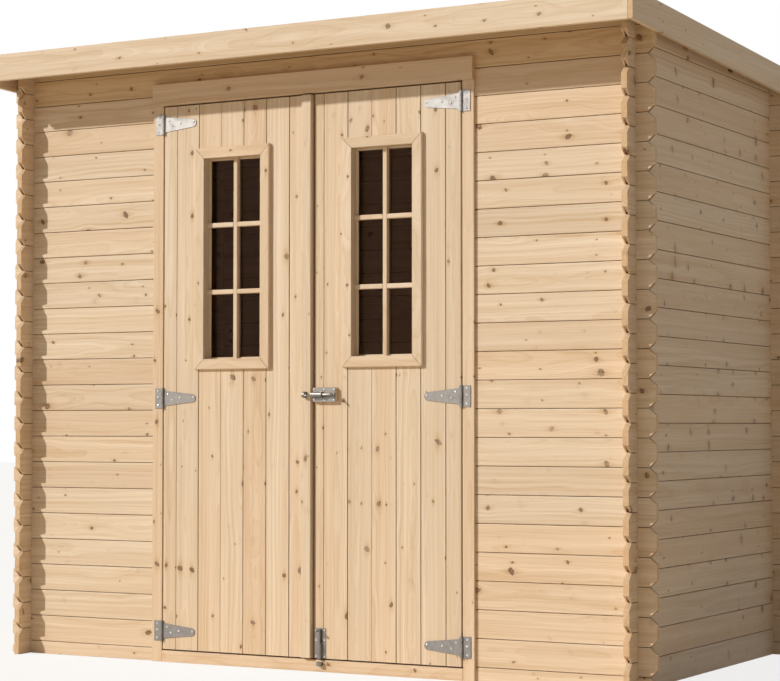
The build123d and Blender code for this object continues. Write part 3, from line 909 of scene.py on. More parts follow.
class Workshop:
    """Holds the finishes and dresses pieces with them."""

    def __init__(self) -> None:
        """Builds the shared groups and all materials."""
        SoftwoodFigure()
        MetalWear()
        wood, zinc = SoftwoodFinish, ZincFinish
        self.wall = wood("spruce_wall").material()
        self.flank = wood("spruce_flank", knot_stretch=2.0, knot_share=0.5).material()
        self.eaves = wood(
            "spruce_eaves", pale=linear(223, 200, 164), deep=linear(176, 138, 92),
            knot_share=0.55,
        ).material()
        self.trim = wood(
            "spruce_trim", knot_share=0.34, knot_size=0.0055, tone_range=0.06, band_strength=0.5
        ).material()
        self.door = wood(
            "spruce_door", knot_share=0.50, knot_size=0.0063, ring_width=0.0034
        ).material()
        self.sash = wood(
            "spruce_sash", knot_share=0.10, knot_size=0.0045, tone_range=0.05, streak_strength=1.2
        ).material()
        self.rough = wood(
            "spruce_rough", pale=linear(214, 186, 150), deep=linear(172, 132, 90),
            roughness=0.72, bump=0.6,
        ).material()
        self.zinc = zinc("zinc_plate", linear(150, 144, 138), linear(116, 111, 106)).material()
        self.bright_zinc = zinc(
            "zinc_bright", linear(170, 166, 162), linear(158, 154, 150), 0.46
        ).material()
        self.screw = zinc(
            "zinc_screw", linear(226, 223, 218), linear(188, 184, 178), 0.24
        ).material()
        self.glass = GlassFinish("window_glass").material()
        self.felt = FeltFinish("mineral_felt").material()
        self.row, self.screws = BoardRow(), ScrewHeads()

    @staticmethod
    def dress(piece: Object, finish: Material, body: str, slot: str, *nodes: str) -> None:
        """Gives a piece its finish and body, and hides the CAD nodes that it stands for.

        Args:
            piece: the finished object.
            finish: its material.
            body: the body that it moves with.
            slot: not used.
            nodes: CAD nodes that it replaces.
        """
        if not piece.data.materials:
            piece.data.materials.append(finish)
        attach(piece, body)
        if nodes:
            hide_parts(*nodes)
        log.info("%s: %d faces", piece.name, len(piece.data.polygons))


def enabled(sockets: Sequence[Socket], name: str) -> Socket:
    """Finds the socket of a name that is in use, among those of other data types."""
    return [socket for socket in sockets if socket.enabled and socket.name == name][0]


class GeometryTree:
    """Geometry tree that sets copies of an object at points and paints the result."""

    name = ""
    inputs: dict[str, str] = {}

    def __init__(self) -> None:
        """Builds the tree once."""
        inputs = {"Geometry": "Geometry", "Copied": "Object", **self.inputs, "Seed": "Int",
                  "Finish": "Material"}
        self.graph = Graph.group(
            self.name, "GeometryNodeTree", inputs, {"Geometry": "Geometry"}
        )
        self.graph.tree.is_modifier = True
        self.given = self.graph.given()
        real = self.graph.out("GeometryNodeRealizeInstances", 0, {"Geometry": self.copies()})
        painted = self.graph.out("GeometryNodeSetMaterial", 0, {
            "Geometry": self.joined(real), "Material": self.given["Finish"]
        })
        self.graph.give(Geometry=painted)

    def copies(self) -> Term:
        """Instances of the copied object."""
        raise NotImplementedError

    def joined(self, real: Term) -> Term:
        """The copies as mesh, with what they belong to."""
        return real

    def at_points(self, points: Feed, **feeds: Feed) -> Term:
        """Sets the copied object at points, with other inputs of the node as they are given."""
        copied = self.graph.out(
            "GeometryNodeObjectInfo", "Geometry", {"Object": self.given["Copied"]}
        )
        return self.graph.out("GeometryNodeInstanceOnPoints", "Instances", {
            "Points": points, "Instance": copied, **feeds
        })

    def luck(self, highest: float) -> Term:
        """Random number from 0 to a highest value for each copy.

        Args:
            highest: the highest value.

        Returns:
            The number.
        """
        node = self.graph.add(
            "FunctionNodeRandomValue", {"Seed": self.given["Seed"]}, data_type="FLOAT"
        )
        self.graph.feed(enabled(node.inputs, "Max"), highest)
        return Term(self.graph, enabled(node.outputs, "Value"))

    def run(self, piece: Object, copied: Object, **values: object) -> None:
        """Runs the tree on a piece and keeps the result as its plain mesh.

        Args:
            piece: the object to work on.
            copied: the object to copy, which is removed afterwards.
            values: the tree's other inputs by name.
        """
        values["Copied"] = copied
        modifier = piece.modifiers.new(self.name, "NODES")
        modifier.node_group = self.graph.tree
        for item in self.graph.tree.interface.items_tree:
            if item.in_out == "INPUT" and item.name in values:
                modifier[item.identifier] = values[item.name]
        graph = bpy.context.evaluated_depsgraph_get()
        graph.update()
        result = bpy.data.meshes.new_from_object(
            piece.evaluated_get(graph), preserve_all_data_layers=True, depsgraph=graph
        )
        piece.modifiers.remove(modifier)
        old, piece.data = piece.data, result
        bpy.data.meshes.remove(old)
        result.name = piece.name
        bpy.data.objects.remove(copied)


class BoardRow(GeometryTree):
    """Lays copies of one board side by side, each with its own seed, next to other boards."""

    name = "board_row"
    inputs = {"Count": "Int", "Step": "Vector"}

    def copies(self) -> Term:
        """Instances of the board, each with its seed.

        Returns:
            The instances.
        """
        line = self.graph.out("GeometryNodeMeshLine", "Mesh", {
            "Count": self.given["Count"], "Offset": self.given["Step"]
        }, mode="OFFSET")
        store = self.graph.add("GeometryNodeStoreNamedAttribute", {
            "Geometry": self.at_points(line), "Name": BOARD_SEED
        }, data_type="FLOAT", domain="INSTANCE")
        self.graph.feed(enabled(store.inputs, "Value"), self.luck(1.0))
        return Term(self.graph, store.outputs["Geometry"])

    def joined(self, real: Term) -> Term:
        """The row and the boards that don't repeat.

        Args:
            real: the row as mesh.

        Returns:
            Both as one mesh.
        """
        both = self.graph.add("GeometryNodeJoinGeometry", {"Geometry": real})
        self.graph.feed(both.inputs["Geometry"], self.given["Geometry"])
        return Term(self.graph, both.outputs["Geometry"])

    def lay(
        self, name: str, odd: Mill, stock: Matchboard, low: float, cuts: Sequence[Cut],
        setting: Setting, count: int, seed: int, finish: Material,
    ) -> Object:
        """Makes boards and a row of equal ones one piece of plain mesh.

        Args:
            name: name of the piece.
            odd: the boards that don't repeat.
            stock: what the others are cut from.
            low: place of the joint at the first one's grooved edge.
            cuts: cross cuts of each.
            setting: the boards' own axes.
            count: how many repeat.
            seed: seed of the boards' own seeds.
            finish: material of all boards.

        Returns:
            The piece.
        """
        plain = Mill()
        plain.matched(stock, low, low + SIZES.pitch, cuts, setting)
        piece, board = odd.finish(name), plain.finish(name + "_board")
        board.data.attributes.remove(board.data.attributes[BOARD_SEED])
        step = setting.across * SIZES.pitch
        self.run(piece, board, Count=count, Step=step, Seed=seed, Finish=finish)
        return piece


class ScrewHeads(GeometryTree):
    """Sets a screw head at each point of a mesh, turned at random."""

    name = "screw_heads"
    inputs = {"Size": "Float"}

    def copies(self) -> Term:
        """Instances of the head, each facing its own way.

        Returns:
            The instances.
        """
        graph = self.graph
        facing = graph.add(
            "GeometryNodeInputNamedAttribute", {"Name": FACING}, data_type="FLOAT_VECTOR"
        )
        turn = graph.out("FunctionNodeAlignRotationToVector", "Rotation", {
            "Vector": enabled(facing.outputs, "Attribute")
        }, axis="Z")
        spin = graph.out("FunctionNodeAxisAngleToRotation", "Rotation", {
            "Axis": tuple(Z), "Angle": self.luck(math.tau)
        })
        both = graph.out("FunctionNodeRotateRotation", "Rotation", {
            "Rotation": turn, "Rotate By": spin
        }, rotation_space="LOCAL")
        return self.at_points(self.given["Geometry"], Rotation=both, Scale=self.given["Size"])


@dataclass
class ScrewSet:
    """Screw heads of one body, drawn as a low dome with a cross recess."""

    name: str
    spots: list[Spot]
    radius: float = 0.0036
    seed: int = 3
    recessed: bool = True
    segments: int = 16
    profile: tuple[Point2, ...] = (
        (1.0, -0.30), (1.0, 0.10), (0.86, 0.34), (0.56, 0.46), (0.30, 0.50)
    )
    tip: float = 0.5
    sunk_tip: float = 0.06
    arm: Point2 = (0.8, 0.34)
    hub: Point2 = (0.4, 0.2)

    def sunk(self, index: int, radius: float) -> float:
        """Depth of the cross recess at a point of the dome; each fourth one is in an arm."""
        cuts = [(self.arm, index % 4 == 0), (self.hub, True)] if self.recessed else []
        return max((depth for (reach, depth), on in cuts if on and radius < reach), default=0.0)

    def head(self) -> Object:
        """Builds one screw head of radius 1 that faces +Z.

        Returns:
            The head as an object.
        """
        mesh = bmesh.new()
        rings = [
            [
                mesh.verts.new((
                    radius * math.cos(math.tau * index / self.segments),
                    radius * math.sin(math.tau * index / self.segments),
                    dome - self.sunk(index, radius),
                ))
                for index in range(self.segments)
            ]
            for radius, dome in self.profile
        ]
        for _, corners in between(rings):
            mesh.faces.new(corners)
        mesh.faces.new(rings[0][::-1])
        top, height = rings[-1], self.sunk_tip if self.recessed else self.tip
        tip = mesh.verts.new((0.0, 0.0, height))
        for pair in zip(top, [*top[1:], top[0]]):
            mesh.faces.new((*pair, tip))
        bmesh.ops.recalc_face_normals(mesh, faces=mesh.faces[:])
        return linked_object("screw_head", mesh)

    def build(self, workshop: Workshop, body: str, finish: Material) -> None:
        """Sets and dresses the screws.

        Args:
            workshop: holds the tree that places them.
            body: the body that they move with.
            finish: their material.
        """
        mesh = bmesh.new()
        layer = mesh.verts.layers.float_vector.new(FACING)
        for place, facing in self.spots:
            mesh.verts.new(place)[layer] = facing
        piece = linked_object(self.name, mesh)
        workshop.screws.run(piece, self.head(), Size=self.radius, Seed=self.seed, Finish=finish)
        workshop.dress(piece, finish, body, STEEL)


@dataclass
class LogWall:
    """Wall of stacked tongued boards that cross the next walls' boards at its corners."""

    name: str
    setting: Setting
    start: float
    end: float
    crossings: tuple[float, ...]
    seed: int
    first_joint: float = SIZES.pitch / 2
    rows: int = 21
    open_start: bool = True
    open_end: bool = True
    foot: bool = True
    limit: Optional[Callable[[float], float]] = None
    pockets: tuple[float, ...] = ()
    pocket_half: float = 0.02215
    pocket_depth: float = 0.04515
    top_tilt: float = 0.0

    def cuts(self, low: float, high: float, low_free: bool = False, top: bool = False) -> list[Cut]:
        """Cross cuts of one board.

        Args:
            low: place of its lower joint.
            high: place of its upper joint.
            low_free: whether its lower end corners are left square.
            top: whether the roof line cuts it.

        Returns:
            The cuts in order.
        """
        chamfer, notch = SIZES.end_chamfer, SIZES.pitch / 4 + SIZES.notch_slack
        half = SIZES.wall / 2 + SIZES.notch_slack
        floor, ceiling = -FAR if low_free else low, FAR if top else high
        whole, narrow = (-FAR, FAR), (floor + chamfer, ceiling - chamfer)
        notched = (low + notch, ceiling - notch)
        square, past = [(0.0, whole)], chamfer + Matchboard().tongue
        shaped = [(0.0, narrow), (chamfer, (floor, ceiling)), (past, whole)]
        ends = shaped if self.open_start else square
        steps = [(self.start + step, span) for step, span in ends]
        for middle in self.crossings:
            near, far = middle - half, middle + half
            steps += [(near, whole), (near, notched), (far, notched), (far, whole)]
        for middle in self.pockets if top else ():
            near, far = middle - self.pocket_half, middle + self.pocket_half
            ends = [(place, (-FAR, self.limit(place) - self.pocket_depth)) for place in (near, far)]
            steps += [(near, whole), *ends, (far, whole)]
        ends = reversed(shaped if self.open_end else square)
        steps += [(self.end - step, span) for step, span in ends]
        return [
            Cut(place, left, min(right, self.limit(place)), tilt=self.top_tilt)
            if top else Cut(place, left, right)
            for place, (left, right) in sorted(steps, key=lambda step: step[0])
        ]

    def build(self, row: BoardRow, finish: Material) -> Object:
        """Stacks the wall's boards.

        Args:
            row: the geometry tree that lays the boards that repeat.
            finish: material of the boards.

        Returns:
            The wall as one object.
        """
        pitch, stock, luck = SIZES.pitch, Matchboard(), random.Random(self.seed)
        odd, low = Mill(), self.first_joint
        if self.foot:
            foot = low - min(low, pitch)
            cuts = self.cuts(foot, low, low_free=True)
            odd.matched(stock, foot, low, cuts, self.setting, luck.random(), grooved=False)
        if self.limit:
            top = low + self.rows * pitch
            odd.board(
                stock.section(top, top + 2 * pitch, tongued=False),
                self.cuts(top, top + pitch, top=True), self.setting, top + pitch / 2,
                luck.random(), stock.inside,
            )
        cuts = self.cuts(low, low + pitch)
        return row.lay(
            self.name, odd, stock, low, cuts, self.setting, self.rows, self.seed, finish
        )


@dataclass
class Walls:
    """The shed's stacked walls and the boards over its doorway."""

    workshop: Workshop

    def plan(self) -> list[tuple[LogWall, Material, str]]:
        """Lists the walls with their finish and the CAD node that each replaces.

        Returns:
            The walls, their finishes and their nodes.
        """
        shop, corner = self.workshop, SIZES.half_width - SIZES.wall / 2
        outer = SIZES.half_width + SIZES.front_reach
        depth = SIZES.rear_y - SIZES.front_y
        front = Setting(Vector((0, SIZES.front_y, 0)), X, Z, Y)
        rear = Setting(Vector((0, SIZES.rear_y, 0)), X, Z, -Y)
        right = Setting(Vector((SIZES.half_width, 0, 0)), Y, Z, -X)
        left = Setting(Vector((-SIZES.half_width, 0, 0)), Y, Z, X)
        side = {
            "start": SIZES.front_y - SIZES.side_reach, "end": SIZES.rear_y + SIZES.side_reach,
            "crossings": (SIZES.front_y + SIZES.wall / 2, SIZES.rear_y - SIZES.wall / 2),
            "first_joint": SIZES.pitch, "limit": SIZES.roof_line,
            "pockets": (SIZES.front_y + depth / 3, SIZES.front_y + 2 * depth / 3),
        }
        return [
            (LogWall("wall_front_left", front, -outer, -SIZES.panel_end, (-corner,), seed=11,
                     open_end=False), shop.wall, "front_wall_left"),
            (LogWall("wall_front_right", front, SIZES.panel_end, outer, (corner,), seed=12,
                     open_start=False), shop.wall, "front_wall_right"),
            (LogWall("wall_front_top", front, -outer, outer, (-corner, corner), seed=13,
                     first_joint=SIZES.lintel_course, rows=1, foot=False,
                     top_tilt=-SIZES.roof_fall, limit=lambda _: SIZES.wall_height),
             shop.eaves, "front_wall_top"),
            (LogWall("wall_rear", rear, -outer, outer, (-corner, corner), seed=14,
                     top_tilt=SIZES.roof_fall, limit=lambda _: SIZES.roof_line(SIZES.rear_y)),
             shop.wall, "rear_wall"),
            (LogWall("wall_right", right, seed=15, **side), shop.flank, "right_wall"),
            (LogWall("wall_left", left, seed=16, **side), shop.flank, "left_wall"),
        ]

    def build(self) -> None:
        """Builds and dresses the walls."""
        for wall, finish, node in self.plan():
            piece = wall.build(self.workshop.row, finish)
            self.workshop.dress(piece, finish, "shed", "wall_boards", node)


class Run(Enum):
    """Way that the grain of a timber runs."""

    WIDE = (0, 2, 1)
    DEEP = (1, 2, 0)
    HIGH = (2, 0, 1)


def islands(mesh: Mesh) -> list[list[Vert]]:
    """Groups the vertices of a mesh by the shell they belong to.

    Args:
        mesh: the mesh, whose shells don't touch.

    Returns:
        The vertices of each shell.
    """
    waiting = dict.fromkeys(mesh.verts)
    groups = []
    while waiting:
        group = [next(iter(waiting))]
        del waiting[group[0]]
        for vertex in group:
            others = [edge.other_vert(vertex) for edge in vertex.link_edges]
            fresh = [other for other in others if other in waiting]
            for other in fresh:
                del waiting[other]
            group += fresh
        groups.append(group)
    return groups


@dataclass
class CarriedTimber:
    """Planed timbers that take their shape from a CAD node, with eased arrises."""

    node: str
    run: Run
    seed: int
    ease: float = 0.0015
    sharp: float = math.radians(25)
    flat: float = math.radians(0.5)
    weld: float = 1e-5

    def shape(self) -> Mesh:
        """Copies the node's shape and eases its edges.

        Returns:
            The eased shape.
        """
        mesh = bmesh.new()
        mesh.from_mesh(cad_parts[self.node].data)
        for name in list(mesh.loops.layers.uv.keys()):
            mesh.loops.layers.uv.remove(mesh.loops.layers.uv[name])
        bmesh.ops.remove_doubles(mesh, verts=mesh.verts[:], dist=self.weld)
        bmesh.ops.dissolve_limit(
            mesh, angle_limit=self.flat, verts=mesh.verts[:], edges=mesh.edges[:]
        )
        edges = [
            edge for edge in mesh.edges
            if len(edge.link_faces) == 2 and edge.calc_face_angle(0.0) > self.sharp
        ]
        bmesh.ops.bevel(
            mesh, geom=edges, offset=self.ease, segments=2, affect="EDGES", clamp_overlap=True,
            profile=0.5,
        )
        return mesh

    def build(self) -> Object:
        """Builds the timbers, with the grain along each.

        Returns:
            The timbers as one object.
        """
        mesh = self.shape()
        grain = mesh.verts.layers.float_vector.new(GRAIN)
        seeds = mesh.verts.layers.float.new(BOARD_SEED)
        luck = random.Random(self.seed)
        for group in islands(mesh):
            columns = list(zip(*(vertex.co for vertex in group)))
            middle = Vector([(min(column) + max(column)) / 2 for column in columns])
            own = luck.random()
            for vertex in group:
                offset = vertex.co - middle
                vertex[grain] = Vector([offset[axis] for axis in self.run.value])
                vertex[seeds] = own
        sawn = mesh.faces.layers.float.new(END_GRAIN_AND_JOINT_SHADE)
        for face in mesh.faces:
            face.smooth = False
            face[sawn] = abs(face.normal[self.run.value[0]])
        return linked_object(self.node + "_timber", mesh)


@dataclass
class Trims:
    """Timbers that follow their CAD nodes: casings, lintel, sill, fascias, purlins and bearers."""

    workshop: Workshop
    first_seed: int = 21

    def build(self) -> None:
        """Builds and dresses the timbers."""
        shop = self.workshop
        seeds = itertools.count(self.first_seed)
        for nodes, run, finish, body, slot in (
            (("door_casing_left", "door_casing_right"), Run.HIGH, shop.trim, "shed",
             "door_surround"),
            (("door_lintel", "door_sill"), Run.WIDE, shop.trim, "shed", "door_surround"),
            (("fascia_front", "fascia_rear"), Run.WIDE, shop.trim, "shed", "fascia_boards"),
            (("fascia_left", "fascia_right"), Run.DEEP, shop.trim, "shed", "fascia_boards"),
            (("roof_purlins",), Run.WIDE, shop.rough, "shed", "roof_timber"),
            (("floor_bearers",), Run.DEEP, shop.rough, "shed", "floor_timber"),
            (("left_door_batten",), Run.HIGH, shop.door, "left_door", "door_boards"),
            (("latch_packing",), Run.HIGH, shop.trim, "right_door", "door_boards"),
        ):
            for node in nodes:
                timber = CarriedTimber(node, run, next(seeds)).build()
                shop.dress(timber, finish, body, slot, node)


@dataclass
class RoofDeck:
    """Roof boards from front to back, and the felt in two lapped sheets."""

    workshop: Workshop
    half_width: float = 1.1983
    front: float = -0.7363
    rear: float = 0.7363
    board: float = 0.016
    vee: float = 0.0015
    felt: float = 0.0012
    lap: float = 0.075
    lap_y: float = 0.02
    lap_ramp: float = 0.03
    lap_clear: float = 0.0001
    felt_ease: float = 0.0004
    last_seed: float = 0.37
    seed: int = 41
    nail_radius: float = 0.005
    nail_seed: int = 43
    nail_edge: float = 0.014
    nail_pitch: float = 0.075

    def setting(self, lift: float) -> Setting:
        """Axes of a layer that follows the roof, from its underside upwards."""
        slope = Vector((0, 1, -SIZES.roof_fall))
        return Setting(Vector((0, 0, SIZES.roof_line(0.0) + lift)), slope, X, Z)

    def build(self) -> None:
        """Builds and dresses the boards, the felt and its nails."""
        shop, odd, half = self.workshop, Mill(), self.half_width
        setting, stock = self.setting(0.0), Matchboard(self.board, self.vee)
        cuts = [Cut(self.front), Cut(self.rear)]
        count = int(2 * half / SIZES.pitch)
        last = count * SIZES.pitch - half
        odd.matched(stock, last, half, cuts, setting, self.last_seed, tongued=False)
        boards = shop.row.lay(
            "roof_boarding", odd, stock, -half, cuts, setting, count, self.seed, shop.rough
        )
        shop.dress(boards, shop.rough, "shed", "roof_timber", "roof_boards")
        shop.dress(self.build_felt(), shop.felt, "shed", "roof_felt", "roof_felt")
        nails = ScrewSet(
            "roof_felt_nails", self.nails(), self.nail_radius, self.nail_seed, recessed=False
        )
        nails.build(shop, "shed", shop.zinc)

    def build_felt(self) -> Object:
        """Builds the felt, whose upper sheet laps over the lower one.

        Returns:
            Both sheets as one object.
        """
        sheets, setting = Mill(), self.setting(self.board)
        section = rounded(-self.half_width, self.half_width, 0.0, self.felt, self.felt_ease)
        lift = self.felt + self.lap_clear
        lower = [Cut(self.lap_y), Cut(self.rear)]
        upper = [
            Cut(self.front), Cut(self.lap_y - self.lap_ramp),
            Cut(self.lap_y - self.lap_clear, lift=lift), Cut(self.lap_y + self.lap, lift=lift),
        ]
        for cuts in (lower, upper):
            sheets.board(section, cuts, setting, middle=0.0, seed=0.0)
        return sheets.finish("roof_felt_sheets")

    def nails(self) -> list[Spot]:
        """Places of the clout nails along the felt's edges and its lap.

        Returns:
            The place and direction of each nail.
        """
        setting = self.setting(self.board + self.felt)
        edge, pitch = self.nail_edge, self.nail_pitch
        wide, lap_end = self.half_width - edge, self.lap_y + self.lap
        across = int(wide / pitch)
        lines = (self.front + edge, 0.0), (self.rear - edge, 0.0), (lap_end - edge, self.felt)
        places = [
            (along, index * pitch, lift)
            for index in range(-across, across + 1) for along, lift in lines
        ]
        for index in range(1, int((self.rear - self.front) / pitch)):
            along = self.front + edge + index * pitch
            lift = self.felt if self.lap_y < along < lap_end else 0.0
            places += [(along, -wide, lift), (along, wide, lift)]
        return [(setting.point(*place), Z) for place in places]


@dataclass
class FloorDeck:
    """Floor boards from side to side, the first one cut round the door frame."""

    workshop: Workshop
    top: float = 0.038
    board: float = 0.018
    half_width: float = 1.1193
    front: float = -0.5333
    rear: float = 0.6433
    door_half: float = 0.6032
    door_back: float = -0.5143
    vee: float = 0.0015
    end_seeds: Point2 = (0.61, 0.83)
    seed: int = 51

    def build(self) -> None:
        """Builds and dresses the floor."""
        shop, odd, stock = self.workshop, Mill(), Matchboard(self.board, self.vee)
        setting = Setting(Vector((0, 0, self.top)), X, Y, -Z)
        count = int((self.rear - self.front) / SIZES.pitch) - 1
        start = self.front + SIZES.pitch
        last = start + count * SIZES.pitch
        whole = [Cut(-self.half_width), Cut(self.half_width)]
        door, back = self.door_half, self.door_back
        round_door = [whole[0], Cut(-door), Cut(-door, back), Cut(door, back), Cut(door), whole[1]]
        first_seed, last_seed = self.end_seeds
        odd.matched(stock, self.front, start, round_door, setting, first_seed, grooved=False)
        odd.matched(stock, last, self.rear, whole, setting, last_seed, tongued=False)
        piece = shop.row.lay(
            "floor_boarding", odd, stock, start, whole, setting, count, self.seed, shop.rough
        )
        shop.dress(piece, shop.rough, "shed", "floor_timber", "floor_boards")


@dataclass(frozen=True)
class LeafLayout:
    """Where the boards of a leaf lie, how far their joints have dried open, and its seeds."""

    closing: float
    edge_board: float
    gaps: tuple[float, ...]
    board_seed: int
    window_seed: int


LAYOUTS = {
    Side.LEFT: LeafLayout(
        0.0235, 0.090, (0.0009, 0.0020, 0.0005, 0.0014, 0.0017, 0.0020), 61, 66
    ),
    Side.RIGHT: LeafLayout(
        0.0295, 0.035, (0.0011, 0.0019, 0.0004, 0.0018, 0.0019, 0.0017), 71, 76
    ),
}


@dataclass
class Leaf:
    """Boards, ledges and brace of one door leaf."""

    side: Side
    workshop: Workshop
    vees: Point2 = (0.0016, 0.0024)
    liner: float = 0.0102
    ledge_rises: tuple[float, ...] = (0.095, 0.800, 1.735)
    ledge_height: float = 0.090
    ledge_thickness: float = 0.020
    ledge_inset: float = 0.028
    ledge_ease: float = 0.0015
    brace_width: float = 0.0977
    brace_inset: float = 0.035
    brace_gap: float = 0.0003
    edge_gap: float = 0.0004

    def joints(self) -> list[float]:
        """Places of the leaf's edges and board joints, from left to right.

        Returns:
            The places.
        """
        side, layout = self.side.value, LAYOUTS[self.side]
        places = [layout.closing]
        place = layout.closing + side * layout.edge_board
        while abs(place) < SIZES.leaf_edge:
            places.append(place)
            place += side * SIZES.pitch
        return sorted(places + [side * SIZES.leaf_edge])

    def runs(self, low: float, tip: float, high: float) -> list[list[Cut]]:
        """Cross cuts of a board, in two runs where the window parts it.

        Args:
            low: place of its left joint.
            tip: place of its tongue's tip.
            high: place of its right joint.

        Returns:
            The cuts of each run.
        """
        wide, high_half = SIZES.window_wide + self.liner, SIZES.window_high + self.liner
        left, right = self.side.window.x - wide, self.side.window.x + wide
        sill, head = SIZES.window_middle - high_half, SIZES.window_middle + high_half
        bottom, top = Cut(SIZES.leaf_bottom), Cut(SIZES.leaf_top)
        if tip <= left or low >= right:
            return [[bottom, top]]
        if low >= left and high <= right:
            return [[bottom, Cut(sill)], [Cut(head), top]]
        keep = {"high": left} if low < left else {"low": right}
        return [[bottom, Cut(sill), Cut(sill, **keep), Cut(head, **keep), Cut(head), top]]

    def build_boards(self) -> Object:
        """Builds the upright boards, cut round the window.

        Returns:
            The boards as one object.
        """
        setting = Setting(Vector((0, SIZES.door_face, 0)), Z, X, Y)
        layout, mill, places = LAYOUTS[self.side], Mill(), self.joints()
        luck, gaps = random.Random(layout.board_seed), [self.edge_gap, *layout.gaps, self.edge_gap]
        for index, (low, high) in enumerate(zip(places, places[1:])):
            stock = Matchboard(SIZES.door_back - SIZES.door_face, luck.uniform(*self.vees))
            seed = luck.random()
            for cuts in self.runs(low, high + stock.tongue, high):
                mill.matched(
                    stock, low, high, cuts, setting, seed, grooved=index > 0,
                    tongued=index < len(places) - 2, gaps=(gaps[index], gaps[index + 1]),
                )
        return mill.finish(self.side.body + "_boarding")

    def build_ledges(self) -> Object:
        """Builds the ledges and the brace on the leaf's back.

        Returns:
            The timbers as one object.
        """
        luck, mill = random.Random(LAYOUTS[self.side].board_seed + 1), Mill()
        setting = Setting(Vector((0, SIZES.door_back + self.ledge_thickness, 0)), X, Z, -Y)
        side, inset_by = self.side.value, self.side.value * self.ledge_inset
        hinge, closing = side * SIZES.leaf_edge - inset_by, LAYOUTS[self.side].closing + inset_by
        cuts = [Cut(end) for end in sorted((hinge, closing))]
        for bottom in self.ledge_rises:
            top = bottom + self.ledge_height
            section = rounded(bottom, top, 0.0, self.ledge_thickness, self.ledge_ease)
            mill.board(section, cuts, setting, bottom + self.ledge_height / 2, luck.random())
        self.add_brace(mill, setting, hinge, closing, luck.random())
        return mill.finish(self.side.body + "_ledging")

    def add_brace(
        self, mill: Mill, level: Setting, hinge: float, closing: float, seed: float
    ) -> None:
        """Adds the brace, which rises from the hinge side and butts against two ledges.

        Args:
            mill: mesh that takes the brace.
            level: axes of the ledges.
            hinge: ends of the ledges at the hinge side.
            closing: their ends at the closing side.
            seed: the brace's own seed.
        """
        aside, half = self.side.value * self.brace_inset, self.brace_width / 2
        foot, head = (rise + self.ledge_height / 2 for rise in self.ledge_rises[:2])
        low = Vector((hinge - aside, 0, foot + self.brace_inset))
        high = Vector((closing + aside, 0, head - self.brace_inset))
        along = (high - low).normalized()
        across = Vector((along.z, 0, -along.x))
        setting = Setting(low + Vector((0, level.origin.y, 0)), along, across, -Y)
        bottom = self.ledge_rises[0] + self.ledge_height + self.brace_gap
        top = self.ledge_rises[1] - self.brace_gap
        cuts = [Cut((z - low.z) / along.z, mitre=-across.z / along.z) for z in (bottom, top)]
        section = rounded(-half, half, 0.0, self.ledge_thickness, self.ledge_ease)
        mill.board(section, cuts, setting, 0.0, seed)

    def build(self) -> None:
        """Builds and dresses the leaf."""
        shop, body = self.workshop, self.side.body
        shop.dress(self.build_boards(), shop.door, body, "door_boards", body + "_boards")
        shop.dress(self.build_ledges(), shop.door, body, "door_boards", body + "_ledges")


